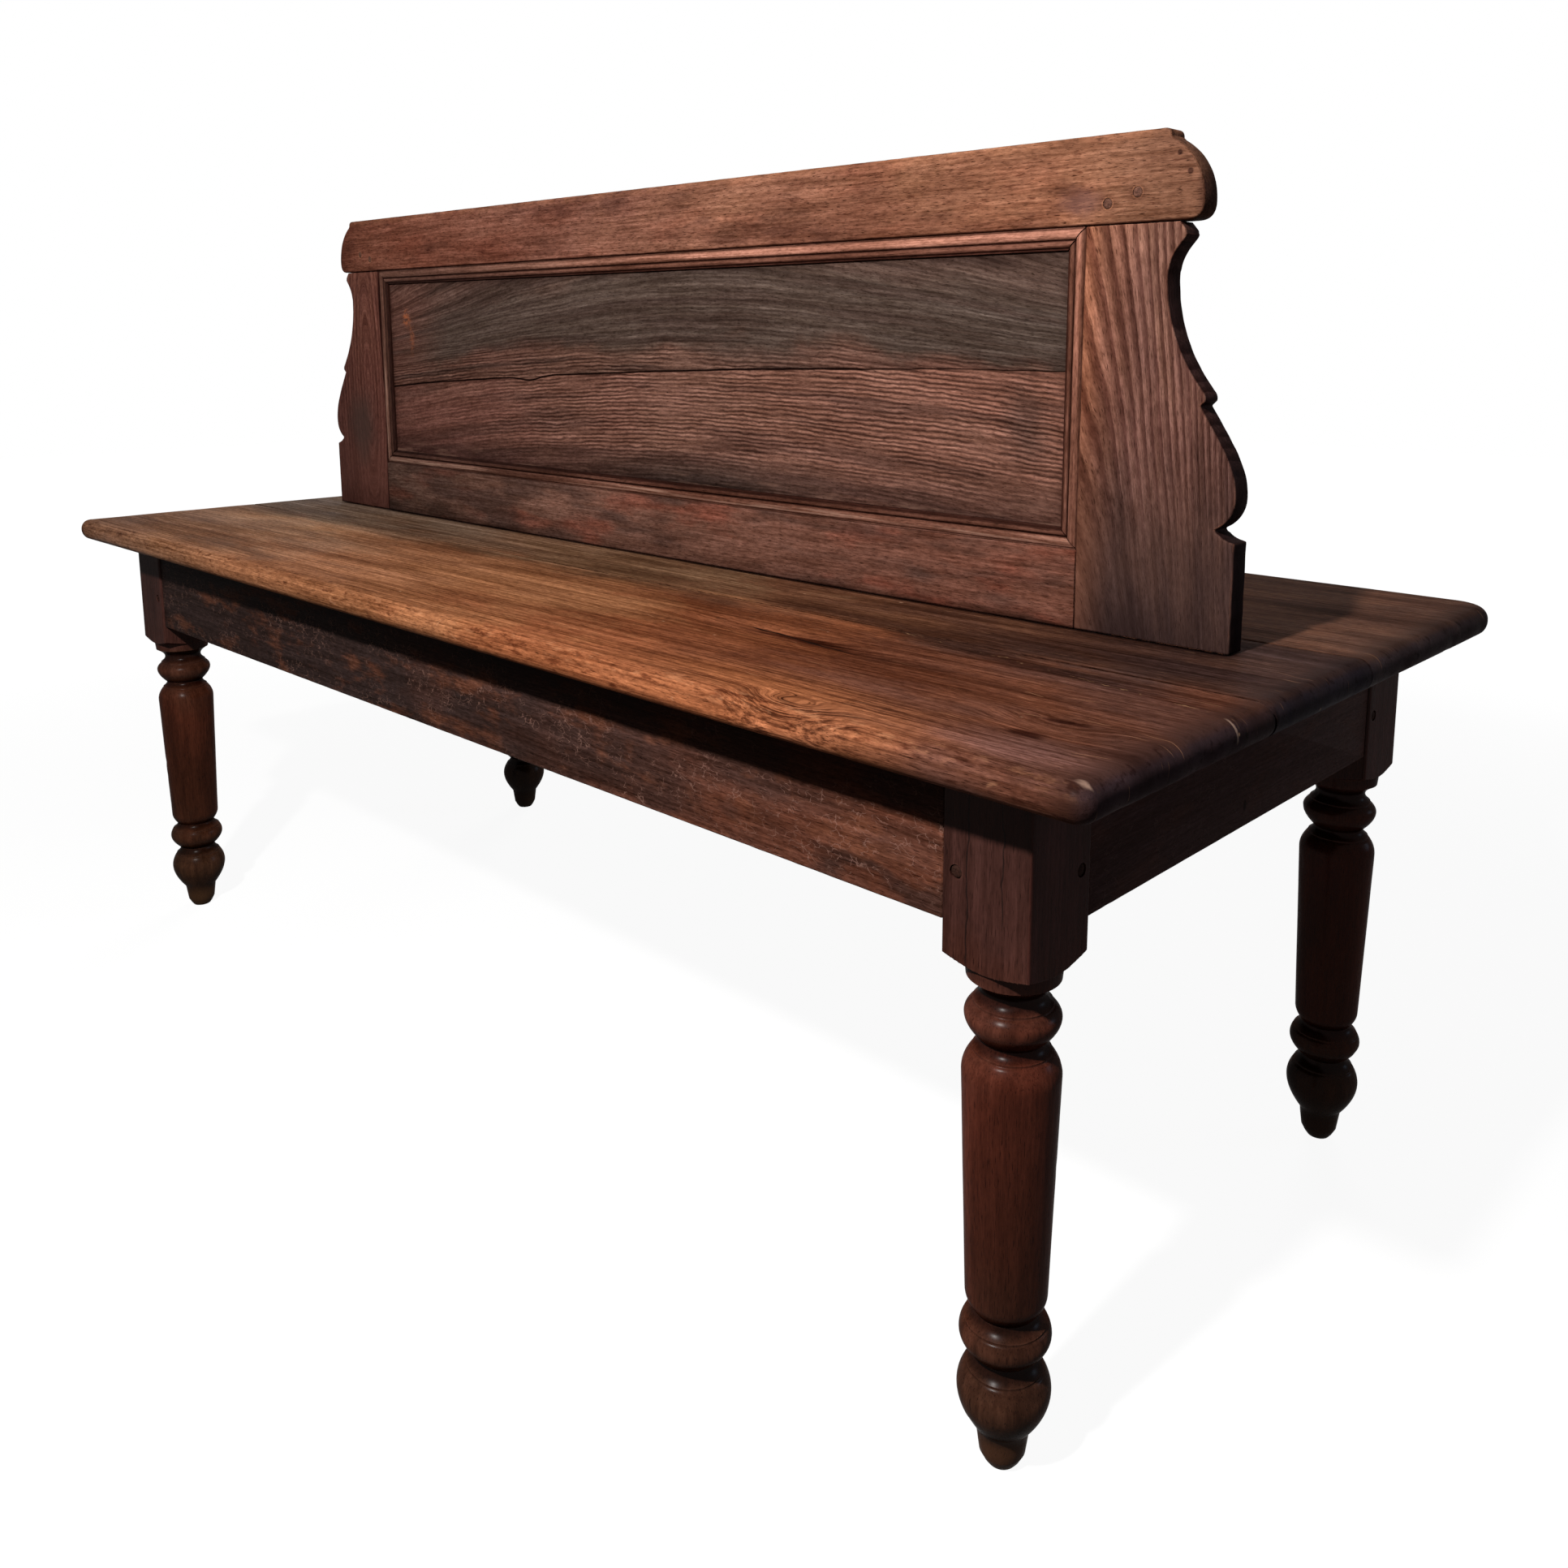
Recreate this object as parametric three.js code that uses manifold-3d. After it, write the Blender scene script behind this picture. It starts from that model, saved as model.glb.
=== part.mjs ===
// Double-sided oak bench: a table-like seat on four turned legs, with a framed and panelled back that
// stands along the middle, so that people sit on both sides of it.
// Millimetres, +Z up. X runs along the bench, -Y is the front, and the origin is on the floor under
// the middle of the seat.
import * as THREE from 'three';
import { mergeVertices } from 'three/addons/utils/BufferGeometryUtils.js';
import Module from 'manifold-3d';

const wasm = await Module();
wasm.setup();

// Driving dimensions of the seat
const seat = {
  length: 1310,
  width: 588,
  height: 450,
  thickness: 22,
  edgeFlat: 1,
  frontCornerEase: 1.5,
  rearCornerEase: 19.5,
  endOverhang: 57,
  sideOverhang: 41.5,
  frontSeamFromMiddle: 97,
  rearSeamFromMiddle: 42,
};

// Driving dimensions of the frame under the seat
const frame = {
  postSide: 58,
  apronHeight: 91,
  apronThickness: 22,
  apronReveal: 1.5,
  apronArris: 1.5,
};

// Driving dimensions of the back
const back = {
  footInset: 11,
  height: 334,
  thickness: 18,
  leftShift: 4,
  frontShift: 3,
  stileFootWidth: 116.5,
  topRailInset: 31,
  topRailHeight: 58,
  bottomRailHeight: 56,
  arris: 1,
  panelThickness: 6,
  grooveDepth: 6,
  panelPlay: 1,
  mouldWidth: 15,
};

// Clearance where pieces meet, and the overrun of a cut past a face
const fit = 0.3;
const overrun = 5;

// The leg's turning, from the floor up: heights as shares of the turned length, and radii
const turning = {
  footPad: { upShare: 0, r: 9 },
  padEdge: { upShare: 0.0096, r: 11.2 },
  stubFoot: { upShare: 0.0255, r: 13.8 },
  stubHead: { upShare: 0.0764, r: 16 },
  footBall: { upShare: 0.1592, r: 27.6 },
  ballRing: { upShare: 0.2038, r: 23.4 },
  lowNeck: { upShare: 0.2293, r: 17.8 },
  lowBead: { upShare: 0.2739, r: 27 },
  lowRing: { upShare: 0.2978, r: 25.2 },
  shinNeck: { upShare: 0.3217, r: 19 },
  shaftFoot: { upShare: 0.3567, r: 24 },
  shaftHead: { upShare: 0.7898, r: 28.4 },
  shoulderRing: { upShare: 0.8328, r: 23.4 },
  highNeck: { upShare: 0.8535, r: 18.4 },
  highBead: { upShare: 0.8997, r: 27.4 },
  highRing: { upShare: 0.9236, r: 23.6 },
  collarNeck: { upShare: 0.9459, r: 18.4 },
  collar: { upShare: 0.9745, r: 26.8 },
  blockFoot: { upShare: 1, r: 27.6 },
};
const block = { belowApron: 23, lathedRise: 10 };
const ringGroove = { half: 0.9, deep: 1.35, lipFall: 0.9 };
const swellShare = 0.57;
const turningSides = 18;
const turningSteps = 3;

// Joinery
const apronTenon = { thickness: 9, tipGap: 9, topShoulder: 22, bottomShoulder: 8, haunch: 9 };
const legPeg = { diameter: 8, setback: 9.5, above: 31, stopShort: 17, flush: 0.2 };
const railTenon = { length: 30, thickness: 6, shoulder: 8 };
const headTenon = { width: 42, length: 36, thickness: 6, inset: 8 };
const railPeg = { diameter: 7, fromSeam: [16, 38], above: [13.5, 19.5], proud: 0.5 };
const footTenon = { width: 34, thickness: 12 };
const footPeg = { diameter: 6, below: 26, proud: 1 };
const bearer = { width: 48, depth: 45, postGap: 1.5, tenonLength: 10, tenonShoulder: 9 };
const glueBlock = { side: 26, length: 72, alongFrontShare: 0.42, alongEndShare: 0.48 };
const pegSides = 12;
const quarter = Math.PI / 2;

// Heights and places that follow from the driving dimensions
const frameLength = seat.length - 2 * seat.endOverhang;
const frameWidth = seat.width - 2 * seat.sideOverhang;
const backLength = frameLength - 2 * back.footInset;
const frontSeam = -seat.frontSeamFromMiddle;
const rearSeam = seat.rearSeamFromMiddle;
const edgeRound = (seat.thickness - seat.edgeFlat) / 2;
const seatUnderside = seat.height - seat.thickness;
const frameTop = seatUnderside - fit;
const apronBottom = seatUnderside - frame.apronHeight;
const blockFoot = apronBottom - block.belowApron;
const postX = (frameLength - frame.postSide) / 2;
const postY = (frameWidth - frame.postSide) / 2;
const innerPostX = postX - frame.postSide / 2;
const innerPostY = postY - frame.postSide / 2;
const apronFaceX = frameLength / 2 - frame.apronReveal;
const apronFaceY = frameWidth / 2 - frame.apronReveal;
const apronInnerX = apronFaceX - frame.apronThickness;
const apronInnerY = apronFaceY - frame.apronThickness;
const backFoot = seat.height + fit;
const backTop = seat.height + back.height;
const topRailUnderside = backTop - back.topRailHeight;
const bottomRailTop = seat.height + back.bottomRailHeight;
const stileSeam = backLength / 2 - back.stileFootWidth;
const bearerX = innerPostX - back.leftShift - bearer.postGap - bearer.width / 2;
const bearerTop = frameTop;
const bearerBottom = bearerTop - bearer.depth;
const apronTenonOffset = frame.apronThickness / 2 + apronTenon.thickness / 2 + frame.apronReveal;
const apronTenonLength = frame.postSide - apronTenonOffset - apronTenon.tipGap;
const backPlace = [-back.leftShift, -back.frontShift, 0];

// Finishes
const oak = (name, colour, roughness) =>
  new THREE.MeshStandardMaterial({ name, color: colour, roughness, metalness: 0 });
const seatOak = oak('seat_oak', 0x6b4127, 0.5);
const frameOak = oak('frame_oak', 0x4a2c20, 0.55);
const legOak = oak('leg_oak', 0x431f15, 0.45);
const backOak = oak('back_oak', 0x6e4030, 0.55);
const panelOak = oak('panel_oak', 0x46302a, 0.6);
const pegOak = oak('peg_oak', 0x35201a, 0.65);
const hiddenOak = oak('hidden_oak', 0x6a4a33, 0.8);

// Solids and booleans

// A closed three.js geometry as a manifold solid.
function solid(geometry) {
  const bare = geometry.clone();
  bare.deleteAttribute('normal');
  bare.deleteAttribute('uv');
  const welded = mergeVertices(bare);
  return new wasm.Manifold(new wasm.Mesh({
    numProp: 3,
    vertProperties: new Float32Array(welded.attributes.position.array),
    triVerts: new Uint32Array(welded.index.array),
  }));
}

// A manifold solid back as a three.js geometry.
function geometryOf(body) {
  const mesh = body.getMesh();
  const geometry = new THREE.BufferGeometry();
  geometry.setAttribute('position', new THREE.BufferAttribute(mesh.vertProperties, 3));
  geometry.setIndex(new THREE.BufferAttribute(mesh.triVerts, 1));
  return geometry;
}

// A box between two corners, each given as [x, y, z].
function box(low, high) {
  const size = high.map((value, axis) => value - low[axis]);
  const geometry = new THREE.BoxGeometry(...size);
  return solid(geometry.translate(...low.map((value, axis) => value + size[axis] / 2)));
}

// A cylinder round an axis ('x' or 'y') from one place on it to another.
function rod(axis, centre, from, to, diameter) {
  const geometry = new THREE.CylinderGeometry(diameter / 2, diameter / 2, to - from, pegSides);
  geometry.translate(0, (from + to) / 2, 0);
  if (axis === 'x') {
    geometry.rotateZ(-Math.PI / 2);
  }
  return solid(geometry.translate(...centre));
}

// An outline in X and Z made into a board between two places on Y, with its arrises eased.
function boardAcross(outline, y0, y1, arris) {
  const geometry = new THREE.ExtrudeGeometry(outline, {
    depth: y1 - y0 - 2 * arris,
    bevelEnabled: arris > 0,
    bevelThickness: arris,
    bevelSize: arris,
    bevelOffset: -arris,
    bevelSegments: 1,
    curveSegments: 5,
  });
  geometry.rotateX(Math.PI / 2);
  return solid(geometry.translate(0, y1 - arris, 0));
}

// A section in Y and Z run along X.
function lengthAlong(section, x0, x1) {
  const geometry = new THREE.ExtrudeGeometry(section, {
    depth: x1 - x0,
    bevelEnabled: false,
    curveSegments: 4,
  });
  geometry.rotateX(Math.PI / 2);
  geometry.rotateZ(Math.PI / 2);
  return solid(geometry.translate(x0, 0, 0));
}

// Legs

// The curve of the turning that leaves a neck and swells to the crown of a bead above it.
function swell(path, neck, crown) {
  const pull = neck.z + swellShare * (crown.z - neck.z);
  path.quadraticCurveTo(crown.r, pull, crown.r, crown.z);
}

// The fall of a bead from its crown up to the next neck, with a fine ring cut into it on the way.
function ringedFall(path, crown, ring, neck) {
  const lowerLip = ring.z - ringGroove.half;
  const upperLip = ring.z + ringGroove.half;
  path.quadraticCurveTo(crown.r, (crown.z + lowerLip) / 2, ring.r, lowerLip);
  path.lineTo(ring.r - ringGroove.deep, ring.z);
  path.lineTo(ring.r - ringGroove.lipFall, upperLip);
  path.quadraticCurveTo(neck.r, (upperLip + neck.z) / 2, neck.r, neck.z);
}

// The half profile of the turned leg, from the floor up to the foot of its square block.
function turnedProfile() {
  const t = Object.fromEntries(Object.entries(turning).map(
    ([name, { upShare, r }]) => [name, { z: upShare * blockFoot, r }],
  ));
  const path = new THREE.Path();
  path.moveTo(t.footPad.r, t.footPad.z);
  path.lineTo(t.padEdge.r, t.padEdge.z);
  path.lineTo(t.stubFoot.r, t.stubFoot.z);
  path.lineTo(t.stubHead.r, t.stubHead.z);
  swell(path, t.stubHead, t.footBall);
  ringedFall(path, t.footBall, t.ballRing, t.lowNeck);
  swell(path, t.lowNeck, t.lowBead);
  ringedFall(path, t.lowBead, t.lowRing, t.shinNeck);
  swell(path, t.shinNeck, t.shaftFoot);
  path.lineTo(t.shaftHead.r, t.shaftHead.z);
  ringedFall(path, t.shaftHead, t.shoulderRing, t.highNeck);
  swell(path, t.highNeck, t.highBead);
  ringedFall(path, t.highBead, t.highRing, t.collarNeck);
  path.quadraticCurveTo(t.collarNeck.r, (t.collarNeck.z + t.collar.z) / 2, t.collar.r, t.collar.z);
  path.lineTo(t.blockFoot.r, t.blockFoot.z);
  return path.getPoints(turningSteps);
}

// A revolved solid under the given half profile, closed onto the axis at both ends.
function revolve(points) {
  const first = new THREE.Vector2(0, points[0].y);
  const last = new THREE.Vector2(0, points[points.length - 1].y);
  const geometry = new THREE.LatheGeometry([first, ...points, last], turningSides);
  return solid(geometry.rotateX(Math.PI / 2));
}

// The square block at the head of the leg, its lower corners cut off at a slope by the lathe.
function legBlock() {
  const half = frame.postSide / 2;
  const corner = Math.hypot(half, half) + fit;
  const square = box([-half, -half, blockFoot], [half, half, frameTop]);
  const lathed = revolve([
    new THREE.Vector2(turning.blockFoot.r, blockFoot),
    new THREE.Vector2(corner, blockFoot + block.lathedRise),
    new THREE.Vector2(corner, frameTop + overrun),
  ]);
  return square.intersect(lathed);
}

// The solid of an apron's tenon, pointing along X from its shoulder at x = 0, for an apron whose
// outer face is at y = -face. The play added all round makes the mortise for it.
function tenonAlongX(face, play) {
  const centre = -face + frame.apronThickness / 2;
  const half = apronTenon.thickness / 2 + play;
  const low = apronBottom + apronTenon.bottomShoulder - play;
  const high = seatUnderside - apronTenon.topShoulder + play;
  const root = [-overrun, centre - half, low];
  const tongue = box(root, [apronTenonLength + play, centre + half, high]);
  const haunch = box(root, [apronTenon.haunch + play, centre + half, frameTop + play]);
  return tongue.add(haunch);
}

// One leg standing at the front left: its mortises open to +X and +Y. The other corners turn it.
function legSolid() {
  const half = frame.postSide / 2;
  const face = half - frame.apronReveal;
  const mortise = tenonAlongX(face, fit).mirror([1, 0, 0]).translate([half, 0, 0]);
  const otherMortise = mortise.mirror([1, -1, 0]);
  const pegHole = legPegSolid(fit, overrun);
  const otherPegHole = pegHole.mirror([1, -1, 0]);
  return revolve(turnedProfile())
    .add(legBlock())
    .subtract(mortise)
    .subtract(otherMortise)
    .subtract(pegHole)
    .subtract(otherPegHole);
}

// The peg through the tenon that enters a front left leg along X.
function legPegSolid(play, past) {
  const half = frame.postSide / 2;
  const centre = [half - legPeg.setback, 0, apronBottom + legPeg.above];
  const from = -half + legPeg.flush - past;
  return rod('y', centre, from, half - legPeg.stopShort + play, legPeg.diameter + 2 * play);
}

// Aprons

// An apron between two posts, along X, its outer face at y = -face: tenoned at both ends and bored
// for the peg through each tenon.
function apronSolid(inner, face) {
  const arris = frame.apronArris;
  const rear = -face + frame.apronThickness;
  const section = new THREE.Shape();
  section.moveTo(-face, frameTop);
  section.lineTo(-face, apronBottom + arris);
  section.quadraticCurveTo(-face, apronBottom, -face + arris, apronBottom);
  section.lineTo(rear - arris, apronBottom);
  section.quadraticCurveTo(rear, apronBottom, rear, apronBottom + arris);
  section.lineTo(rear, frameTop);
  const shoulder = inner - fit;
  const tenon = tenonAlongX(face, 0).translate([shoulder, 0, 0]);
  let body = lengthAlong(section, -shoulder, shoulder).add(tenon).add(tenon.mirror([1, 0, 0]));
  const z = apronBottom + legPeg.above;
  const reach = inner + legPeg.setback;
  for (const x of [-reach, reach]) {
    const far = -face + frame.postSide;
    body = body.subtract(rod('y', [x, 0, z], -face - overrun, far, legPeg.diameter + 2 * fit));
  }
  return body;
}

// The two stub tenons of a bearer's ends as one bar; with play it makes the aprons' mortises.
function bearerTenon(play) {
  const half = bearer.width / 2 - bearer.tenonShoulder + play;
  const low = bearerBottom + bearer.tenonShoulder - play;
  const high = bearerTop - bearer.tenonShoulder + play;
  const reach = apronInnerY - fit + bearer.tenonLength + play;
  return box([-half, -reach, low], [half, reach, high]);
}

// The apron under the front edge, mortised for the three bearers. The rear one mirrors it.
function longApron() {
  let body = apronSolid(innerPostX, apronFaceY);
  for (const side of [-1, 0, 1]) {
    const x = side * bearerX - back.leftShift;
    body = body.subtract(bearerTenon(fit).translate([x, 0, 0]));
  }
  return body;
}

// Seat

// The whole seat with its half-round edge, before it is divided into planks.
function seatSlab() {
  const front = { y: -seat.width / 2, r: edgeRound + seat.frontCornerEase };
  const rear = { y: seat.width / 2, r: edgeRound + seat.rearCornerEase };
  const outline = new THREE.Shape();
  [[1, front], [1, rear], [-1, rear], [-1, front]].forEach(([side, { y, r }], index) => {
    const centre = [side * (seat.length / 2 - r), y - Math.sign(y) * r];
    outline.absarc(...centre, r, (index - 1) * quarter, index * quarter);
  });
  const geometry = new THREE.ExtrudeGeometry(outline, {
    depth: seat.thickness - 2 * edgeRound,
    bevelEnabled: true,
    bevelThickness: edgeRound,
    bevelSize: edgeRound,
    bevelOffset: -edgeRound,
    bevelSegments: 5,
    curveSegments: 5,
  });
  return solid(geometry.translate(0, 0, seatUnderside + edgeRound));
}

// One plank of the seat between two seams.
function plank(slab, y0, y1) {
  const past = seat.length / 2 + overrun;
  const low = [-past, y0, seatUnderside - overrun];
  return slab.intersect(box(low, [past, y1, seat.height + overrun]));
}

// Back frame

// The scroll-sawn outer edge of a stile, from its foot up to the top rail. Each place is [share of the
// stile's width in from the foot's edge, share of the stile's height].
const scrollShares = {
  plinthTop: [0, 0.2645],
  plinthPull: [0.0858, 0.2681],
  plinthNotch: [0.1202, 0.2917],
  bellyFootPull: [0.0515, 0.3062],
  bellyLowPull: [0.0052, 0.3297],
  belly: [0.0052, 0.3696],
  bellyHighPull: [0.0052, 0.4348],
  bellyHeadPull: [0.1116, 0.4964],
  cuspNotch: [0.2403, 0.5761],
  cuspFoot: [0.2112, 0.587],
  cuspPull: [0.2009, 0.5996],
  cuspHead: [0.2318, 0.6123],
  waistLowPull: [0.3605, 0.6812],
  waistPull: [0.4635, 0.7609],
  waist: [0.4678, 0.8768],
  waistHighPull: [0.4678, 0.9167],
  lipLowPull: [0.4292, 0.9348],
  lipFoot: [0.382, 0.9583],
  lipPull: [0.3571, 0.9692],
  lip: [0.3691, 0.9801],
  head: [0.4077, 1],
};

// The outline of one stile; side is 1 for the right and -1 for the left.
function stileOutline(side) {
  const height = topRailUnderside - seat.height;
  const out = (shares) => side * (backLength / 2 - shares[0] * back.stileFootWidth);
  const at = (shares) => [out(shares), seat.height + shares[1] * height];
  const s = scrollShares;
  const outline = new THREE.Shape();
  outline.moveTo(side * stileSeam, backFoot);
  outline.lineTo(side * backLength / 2, backFoot);
  outline.lineTo(...at(s.plinthTop));
  outline.quadraticCurveTo(...at(s.plinthPull), ...at(s.plinthNotch));
  outline.bezierCurveTo(...at(s.bellyFootPull), ...at(s.bellyLowPull), ...at(s.belly));
  outline.bezierCurveTo(...at(s.bellyHighPull), ...at(s.bellyHeadPull), ...at(s.cuspNotch));
  outline.lineTo(...at(s.cuspFoot));
  outline.quadraticCurveTo(...at(s.cuspPull), ...at(s.cuspHead));
  outline.bezierCurveTo(...at(s.waistLowPull), ...at(s.waistPull), ...at(s.waist));
  outline.bezierCurveTo(...at(s.waistHighPull), ...at(s.lipLowPull), ...at(s.lipFoot));
  outline.quadraticCurveTo(...at(s.lipPull), ...at(s.lip));
  outline.lineTo(out(s.head), topRailUnderside - fit);
  outline.lineTo(side * stileSeam, topRailUnderside - fit);
  return outline;
}

// A box given for the right-hand side and mirrored for the left.
function sideBox(side, low, high) {
  const body = box(low, high);
  return side > 0 ? body : body.mirror([1, 0, 0]);
}

// The tenon at a stile's head, which enters the top rail.
function headTenonSolid(side, play) {
  const x0 = stileSeam + headTenon.inset - play;
  const half = headTenon.thickness / 2 + play;
  const low = topRailUnderside - overrun;
  const high = topRailUnderside + headTenon.length + play;
  return sideBox(side, [x0, -half, low], [x0 + headTenon.width + 2 * play, half, high]);
}

// The tenon at a stile's foot, which goes down through the seat and the bearer.
function footTenonSolid(side, play) {
  const x0 = bearerX - footTenon.width / 2 - play;
  const half = footTenon.thickness / 2 + play;
  const low = bearerBottom - play;
  return sideBox(side, [x0, -half, low], [x0 + footTenon.width + 2 * play, half, backFoot + overrun]);
}

// The tenon at an end of the bottom rail.
function railTenonSolid(side, play) {
  const half = railTenon.thickness / 2 + play;
  const low = backFoot + railTenon.shoulder - play;
  const high = bottomRailTop - back.grooveDepth - railTenon.shoulder / 2 + play;
  const tip = stileSeam + railTenon.length + play;
  return sideBox(side, [stileSeam - overrun, -half, low], [tip, half, high]);
}

// The space of the panel's groove round the opening of the frame.
function panelGroove() {
  const half = back.panelThickness / 2 + fit;
  const reach = stileSeam + back.grooveDepth;
  const low = bottomRailTop - back.grooveDepth;
  return box([-reach, -half, low], [reach, half, topRailUnderside + back.grooveDepth]);
}

// The pegs through the top rail and the head of a stile, at the given play.
function railPegs(side, play, past) {
  const reach = back.thickness / 2 + past;
  return railPeg.fromSeam.map((fromSeam, index) => {
    const centre = [side * (stileSeam + fromSeam), 0, topRailUnderside + railPeg.above[index]];
    return rod('y', centre, -reach, reach, railPeg.diameter + 2 * play);
  });
}

// The peg through a bearer and the foot tenon of a stile.
function footPegSolid(side, play, past) {
  const reach = bearer.width / 2 + past;
  const z = bearerTop - footPeg.below;
  return rod('x', [side * bearerX, 0, z], -reach, reach, footPeg.diameter + 2 * play);
}

// A stile of the back.
function stileSolid(side) {
  const half = back.thickness / 2;
  let body = boardAcross(stileOutline(side), -half, half, back.arris)
    .add(headTenonSolid(side, 0))
    .add(footTenonSolid(side, 0))
    .subtract(railTenonSolid(side, fit))
    .subtract(panelGroove());
  for (const hole of railPegs(side, fit, overrun)) {
    body = body.subtract(hole);
  }
  return body.subtract(footPegSolid(side, fit, overrun));
}

// The top rail's shaped end, in shares of the rail's height, and how far its sweep turns, as a share
// of half a turn
const railEnd = {
  noseUpShare: 0.207,
  noseRoundShare: 0.19,
  sweepRadiusShare: 0.769,
  sweepTurnShare: 0.34,
  stepInShare: 0.0276,
  topRoundShare: 0.095,
};
const railCurveSteps = 5;

// The outline of the top rail: at each end a rounded nose, a quarter-round sweep and a small step.
function topRailOutline() {
  const path = new THREE.Path();
  const end = backLength / 2 - back.topRailInset;
  const nose = topRailUnderside + railEnd.noseUpShare * back.topRailHeight;
  const sweepRadius = railEnd.sweepRadiusShare * back.topRailHeight;
  const stepIn = railEnd.stepInShare * back.topRailHeight;
  const sweepCentre = end - sweepRadius;
  const stop = railEnd.sweepTurnShare * Math.PI;
  path.moveTo(end - railEnd.noseRoundShare * back.topRailHeight, topRailUnderside);
  path.quadraticCurveTo(end, topRailUnderside, end, nose);
  path.absarc(sweepCentre, nose, sweepRadius, 0, stop);
  const stepX = sweepCentre + sweepRadius * Math.cos(stop) - stepIn;
  const stepZ = nose + sweepRadius * Math.sin(stop) + stepIn;
  path.lineTo(stepX, stepZ);
  path.quadraticCurveTo(stepX, backTop, stepX - railEnd.topRoundShare * back.topRailHeight, backTop);
  const right = path.getPoints(railCurveSteps);
  const left = right.map((point) => new THREE.Vector2(-point.x, point.y)).reverse();
  return new THREE.Shape([...right, ...left]);
}

// The top rail, mortised for the stiles, grooved for the panel and bored for its pegs.
function topRailSolid() {
  const half = back.thickness / 2;
  let body = boardAcross(topRailOutline(), -half, half, back.arris).subtract(panelGroove());
  for (const side of [-1, 1]) {
    body = body.subtract(headTenonSolid(side, fit));
    for (const hole of railPegs(side, fit, overrun)) {
      body = body.subtract(hole);
    }
  }
  return body;
}

// The bottom rail between the stiles, tenoned into them.
function bottomRailSolid() {
  const half = back.thickness / 2;
  const end = stileSeam - fit;
  let body = box([-end, -half, backFoot], [end, half, bottomRailTop]).subtract(panelGroove());
  for (const side of [-1, 1]) {
    body = body.add(railTenonSolid(side, 0));
  }
  return body;
}

// Panel

// Height of the joint between the two panel boards, in shares of the opening's height: it climbs
// from left to right and bows upwards, as the boards were cut from a tapering log.
const panelJoint = { leftShare: 0.4, rightShare: 0.559, pullShare: 0.5614 };

// The two ends and the pull of the joint's curve, raised by the given amount.
function jointLine(raise) {
  const reach = stileSeam + back.grooveDepth - back.panelPlay;
  const opening = topRailUnderside - bottomRailTop;
  const at = (share) => bottomRailTop + share * opening + raise;
  const { leftShare, rightShare, pullShare } = panelJoint;
  return { reach, left: at(leftShare), right: at(rightShare), pull: at(pullShare) };
}

// The lower or upper board of the panel.
function panelBoard(upper) {
  const half = back.panelThickness / 2;
  const line = jointLine(upper ? fit / 2 : -fit / 2);
  const edge = upper
    ? topRailUnderside + back.grooveDepth - back.panelPlay
    : bottomRailTop - back.grooveDepth + back.panelPlay;
  const outline = new THREE.Shape();
  outline.moveTo(-line.reach, edge);
  outline.lineTo(line.reach, edge);
  outline.lineTo(line.reach, line.right);
  outline.quadraticCurveTo(0, line.pull, -line.reach, line.left);
  return boardAcross(outline, -half, half, 0);
}

// Planted mouldings

// The section of the moulding: a quirk by the frame, a broad bead, a groove, a narrow bead and a
// fillet at the sight edge. Each place is [share of the width, share of the depth].
const mouldShares = {
  quirkTop: [0, 0.78],
  broadFoot: [0.06, 0.72],
  broadPull: [0.12, 1],
  broadCrown: [0.3, 1],
  broadFar: [0.52, 1],
  groove: [0.56, 0.5],
  narrowPull: [0.6, 0.82],
  narrowCrown: [0.74, 0.78],
  narrowFar: [0.9, 0.74],
  filletTop: [0.92, 0.4],
  sight: [1, 0.34],
};

// The moulding's section, its width along +X from the frame and its depth along +Y off the panel.
function mouldSection(width, depth) {
  const at = (shares) => [shares[0] * width, shares[1] * depth];
  const m = mouldShares;
  const section = new THREE.Shape();
  section.moveTo(0, 0);
  section.lineTo(width, 0);
  section.lineTo(...at(m.sight));
  section.lineTo(...at(m.filletTop));
  section.quadraticCurveTo(...at(m.narrowFar), ...at(m.narrowCrown));
  section.quadraticCurveTo(...at(m.narrowPull), ...at(m.groove));
  section.quadraticCurveTo(...at(m.broadFar), ...at(m.broadCrown));
  section.quadraticCurveTo(...at(m.broadPull), ...at(m.broadFoot));
  section.lineTo(...at(m.quirkTop));
  return section;
}

// A strip of moulding with both ends mitred, lying along +Z from 0 to its length at the frame.
function mouldStrip(length) {
  const width = back.mouldWidth - fit;
  const depth = (back.thickness - back.panelThickness) / 2 - 2 * fit;
  const geometry = new THREE.ExtrudeGeometry(mouldSection(width, depth), {
    depth: length,
    bevelEnabled: false,
    curveSegments: 4,
  });
  const position = geometry.attributes.position;
  for (let index = 0; index < position.count; index += 1) {
    const shift = position.getX(index) * (position.getZ(index) > length / 2 ? -1 : 1);
    position.setZ(index, position.getZ(index) + shift);
  }
  return geometry;
}

// The four strips round the panel on one face; facing is -1 for the front and 1 for the rear.
function mouldings(facing) {
  const half = back.panelThickness / 2 + fit;
  const height = topRailUnderside - bottomRailTop;
  const mitreGap = 2 * fit;
  const sides = [
    { name: 'bottom', length: 2 * stileSeam, at: [stileSeam, bottomRailTop], turn: Math.PI / 2 },
    { name: 'right', length: height, at: [stileSeam, topRailUnderside], turn: Math.PI },
    { name: 'top', length: 2 * stileSeam, at: [-stileSeam, topRailUnderside], turn: -Math.PI / 2 },
    { name: 'left', length: height, at: [-stileSeam, bottomRailTop], turn: 0 },
  ];
  return sides.map(({ name, length, at, turn }) => {
    const geometry = mouldStrip(length - 2 * mitreGap);
    geometry.translate(fit, 0, mitreGap);
    geometry.rotateY(-turn);
    geometry.translate(at[0], half, at[1]);
    const body = solid(geometry);
    return { name, body: facing > 0 ? body : body.mirror([0, 1, 0]) };
  });
}

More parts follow.
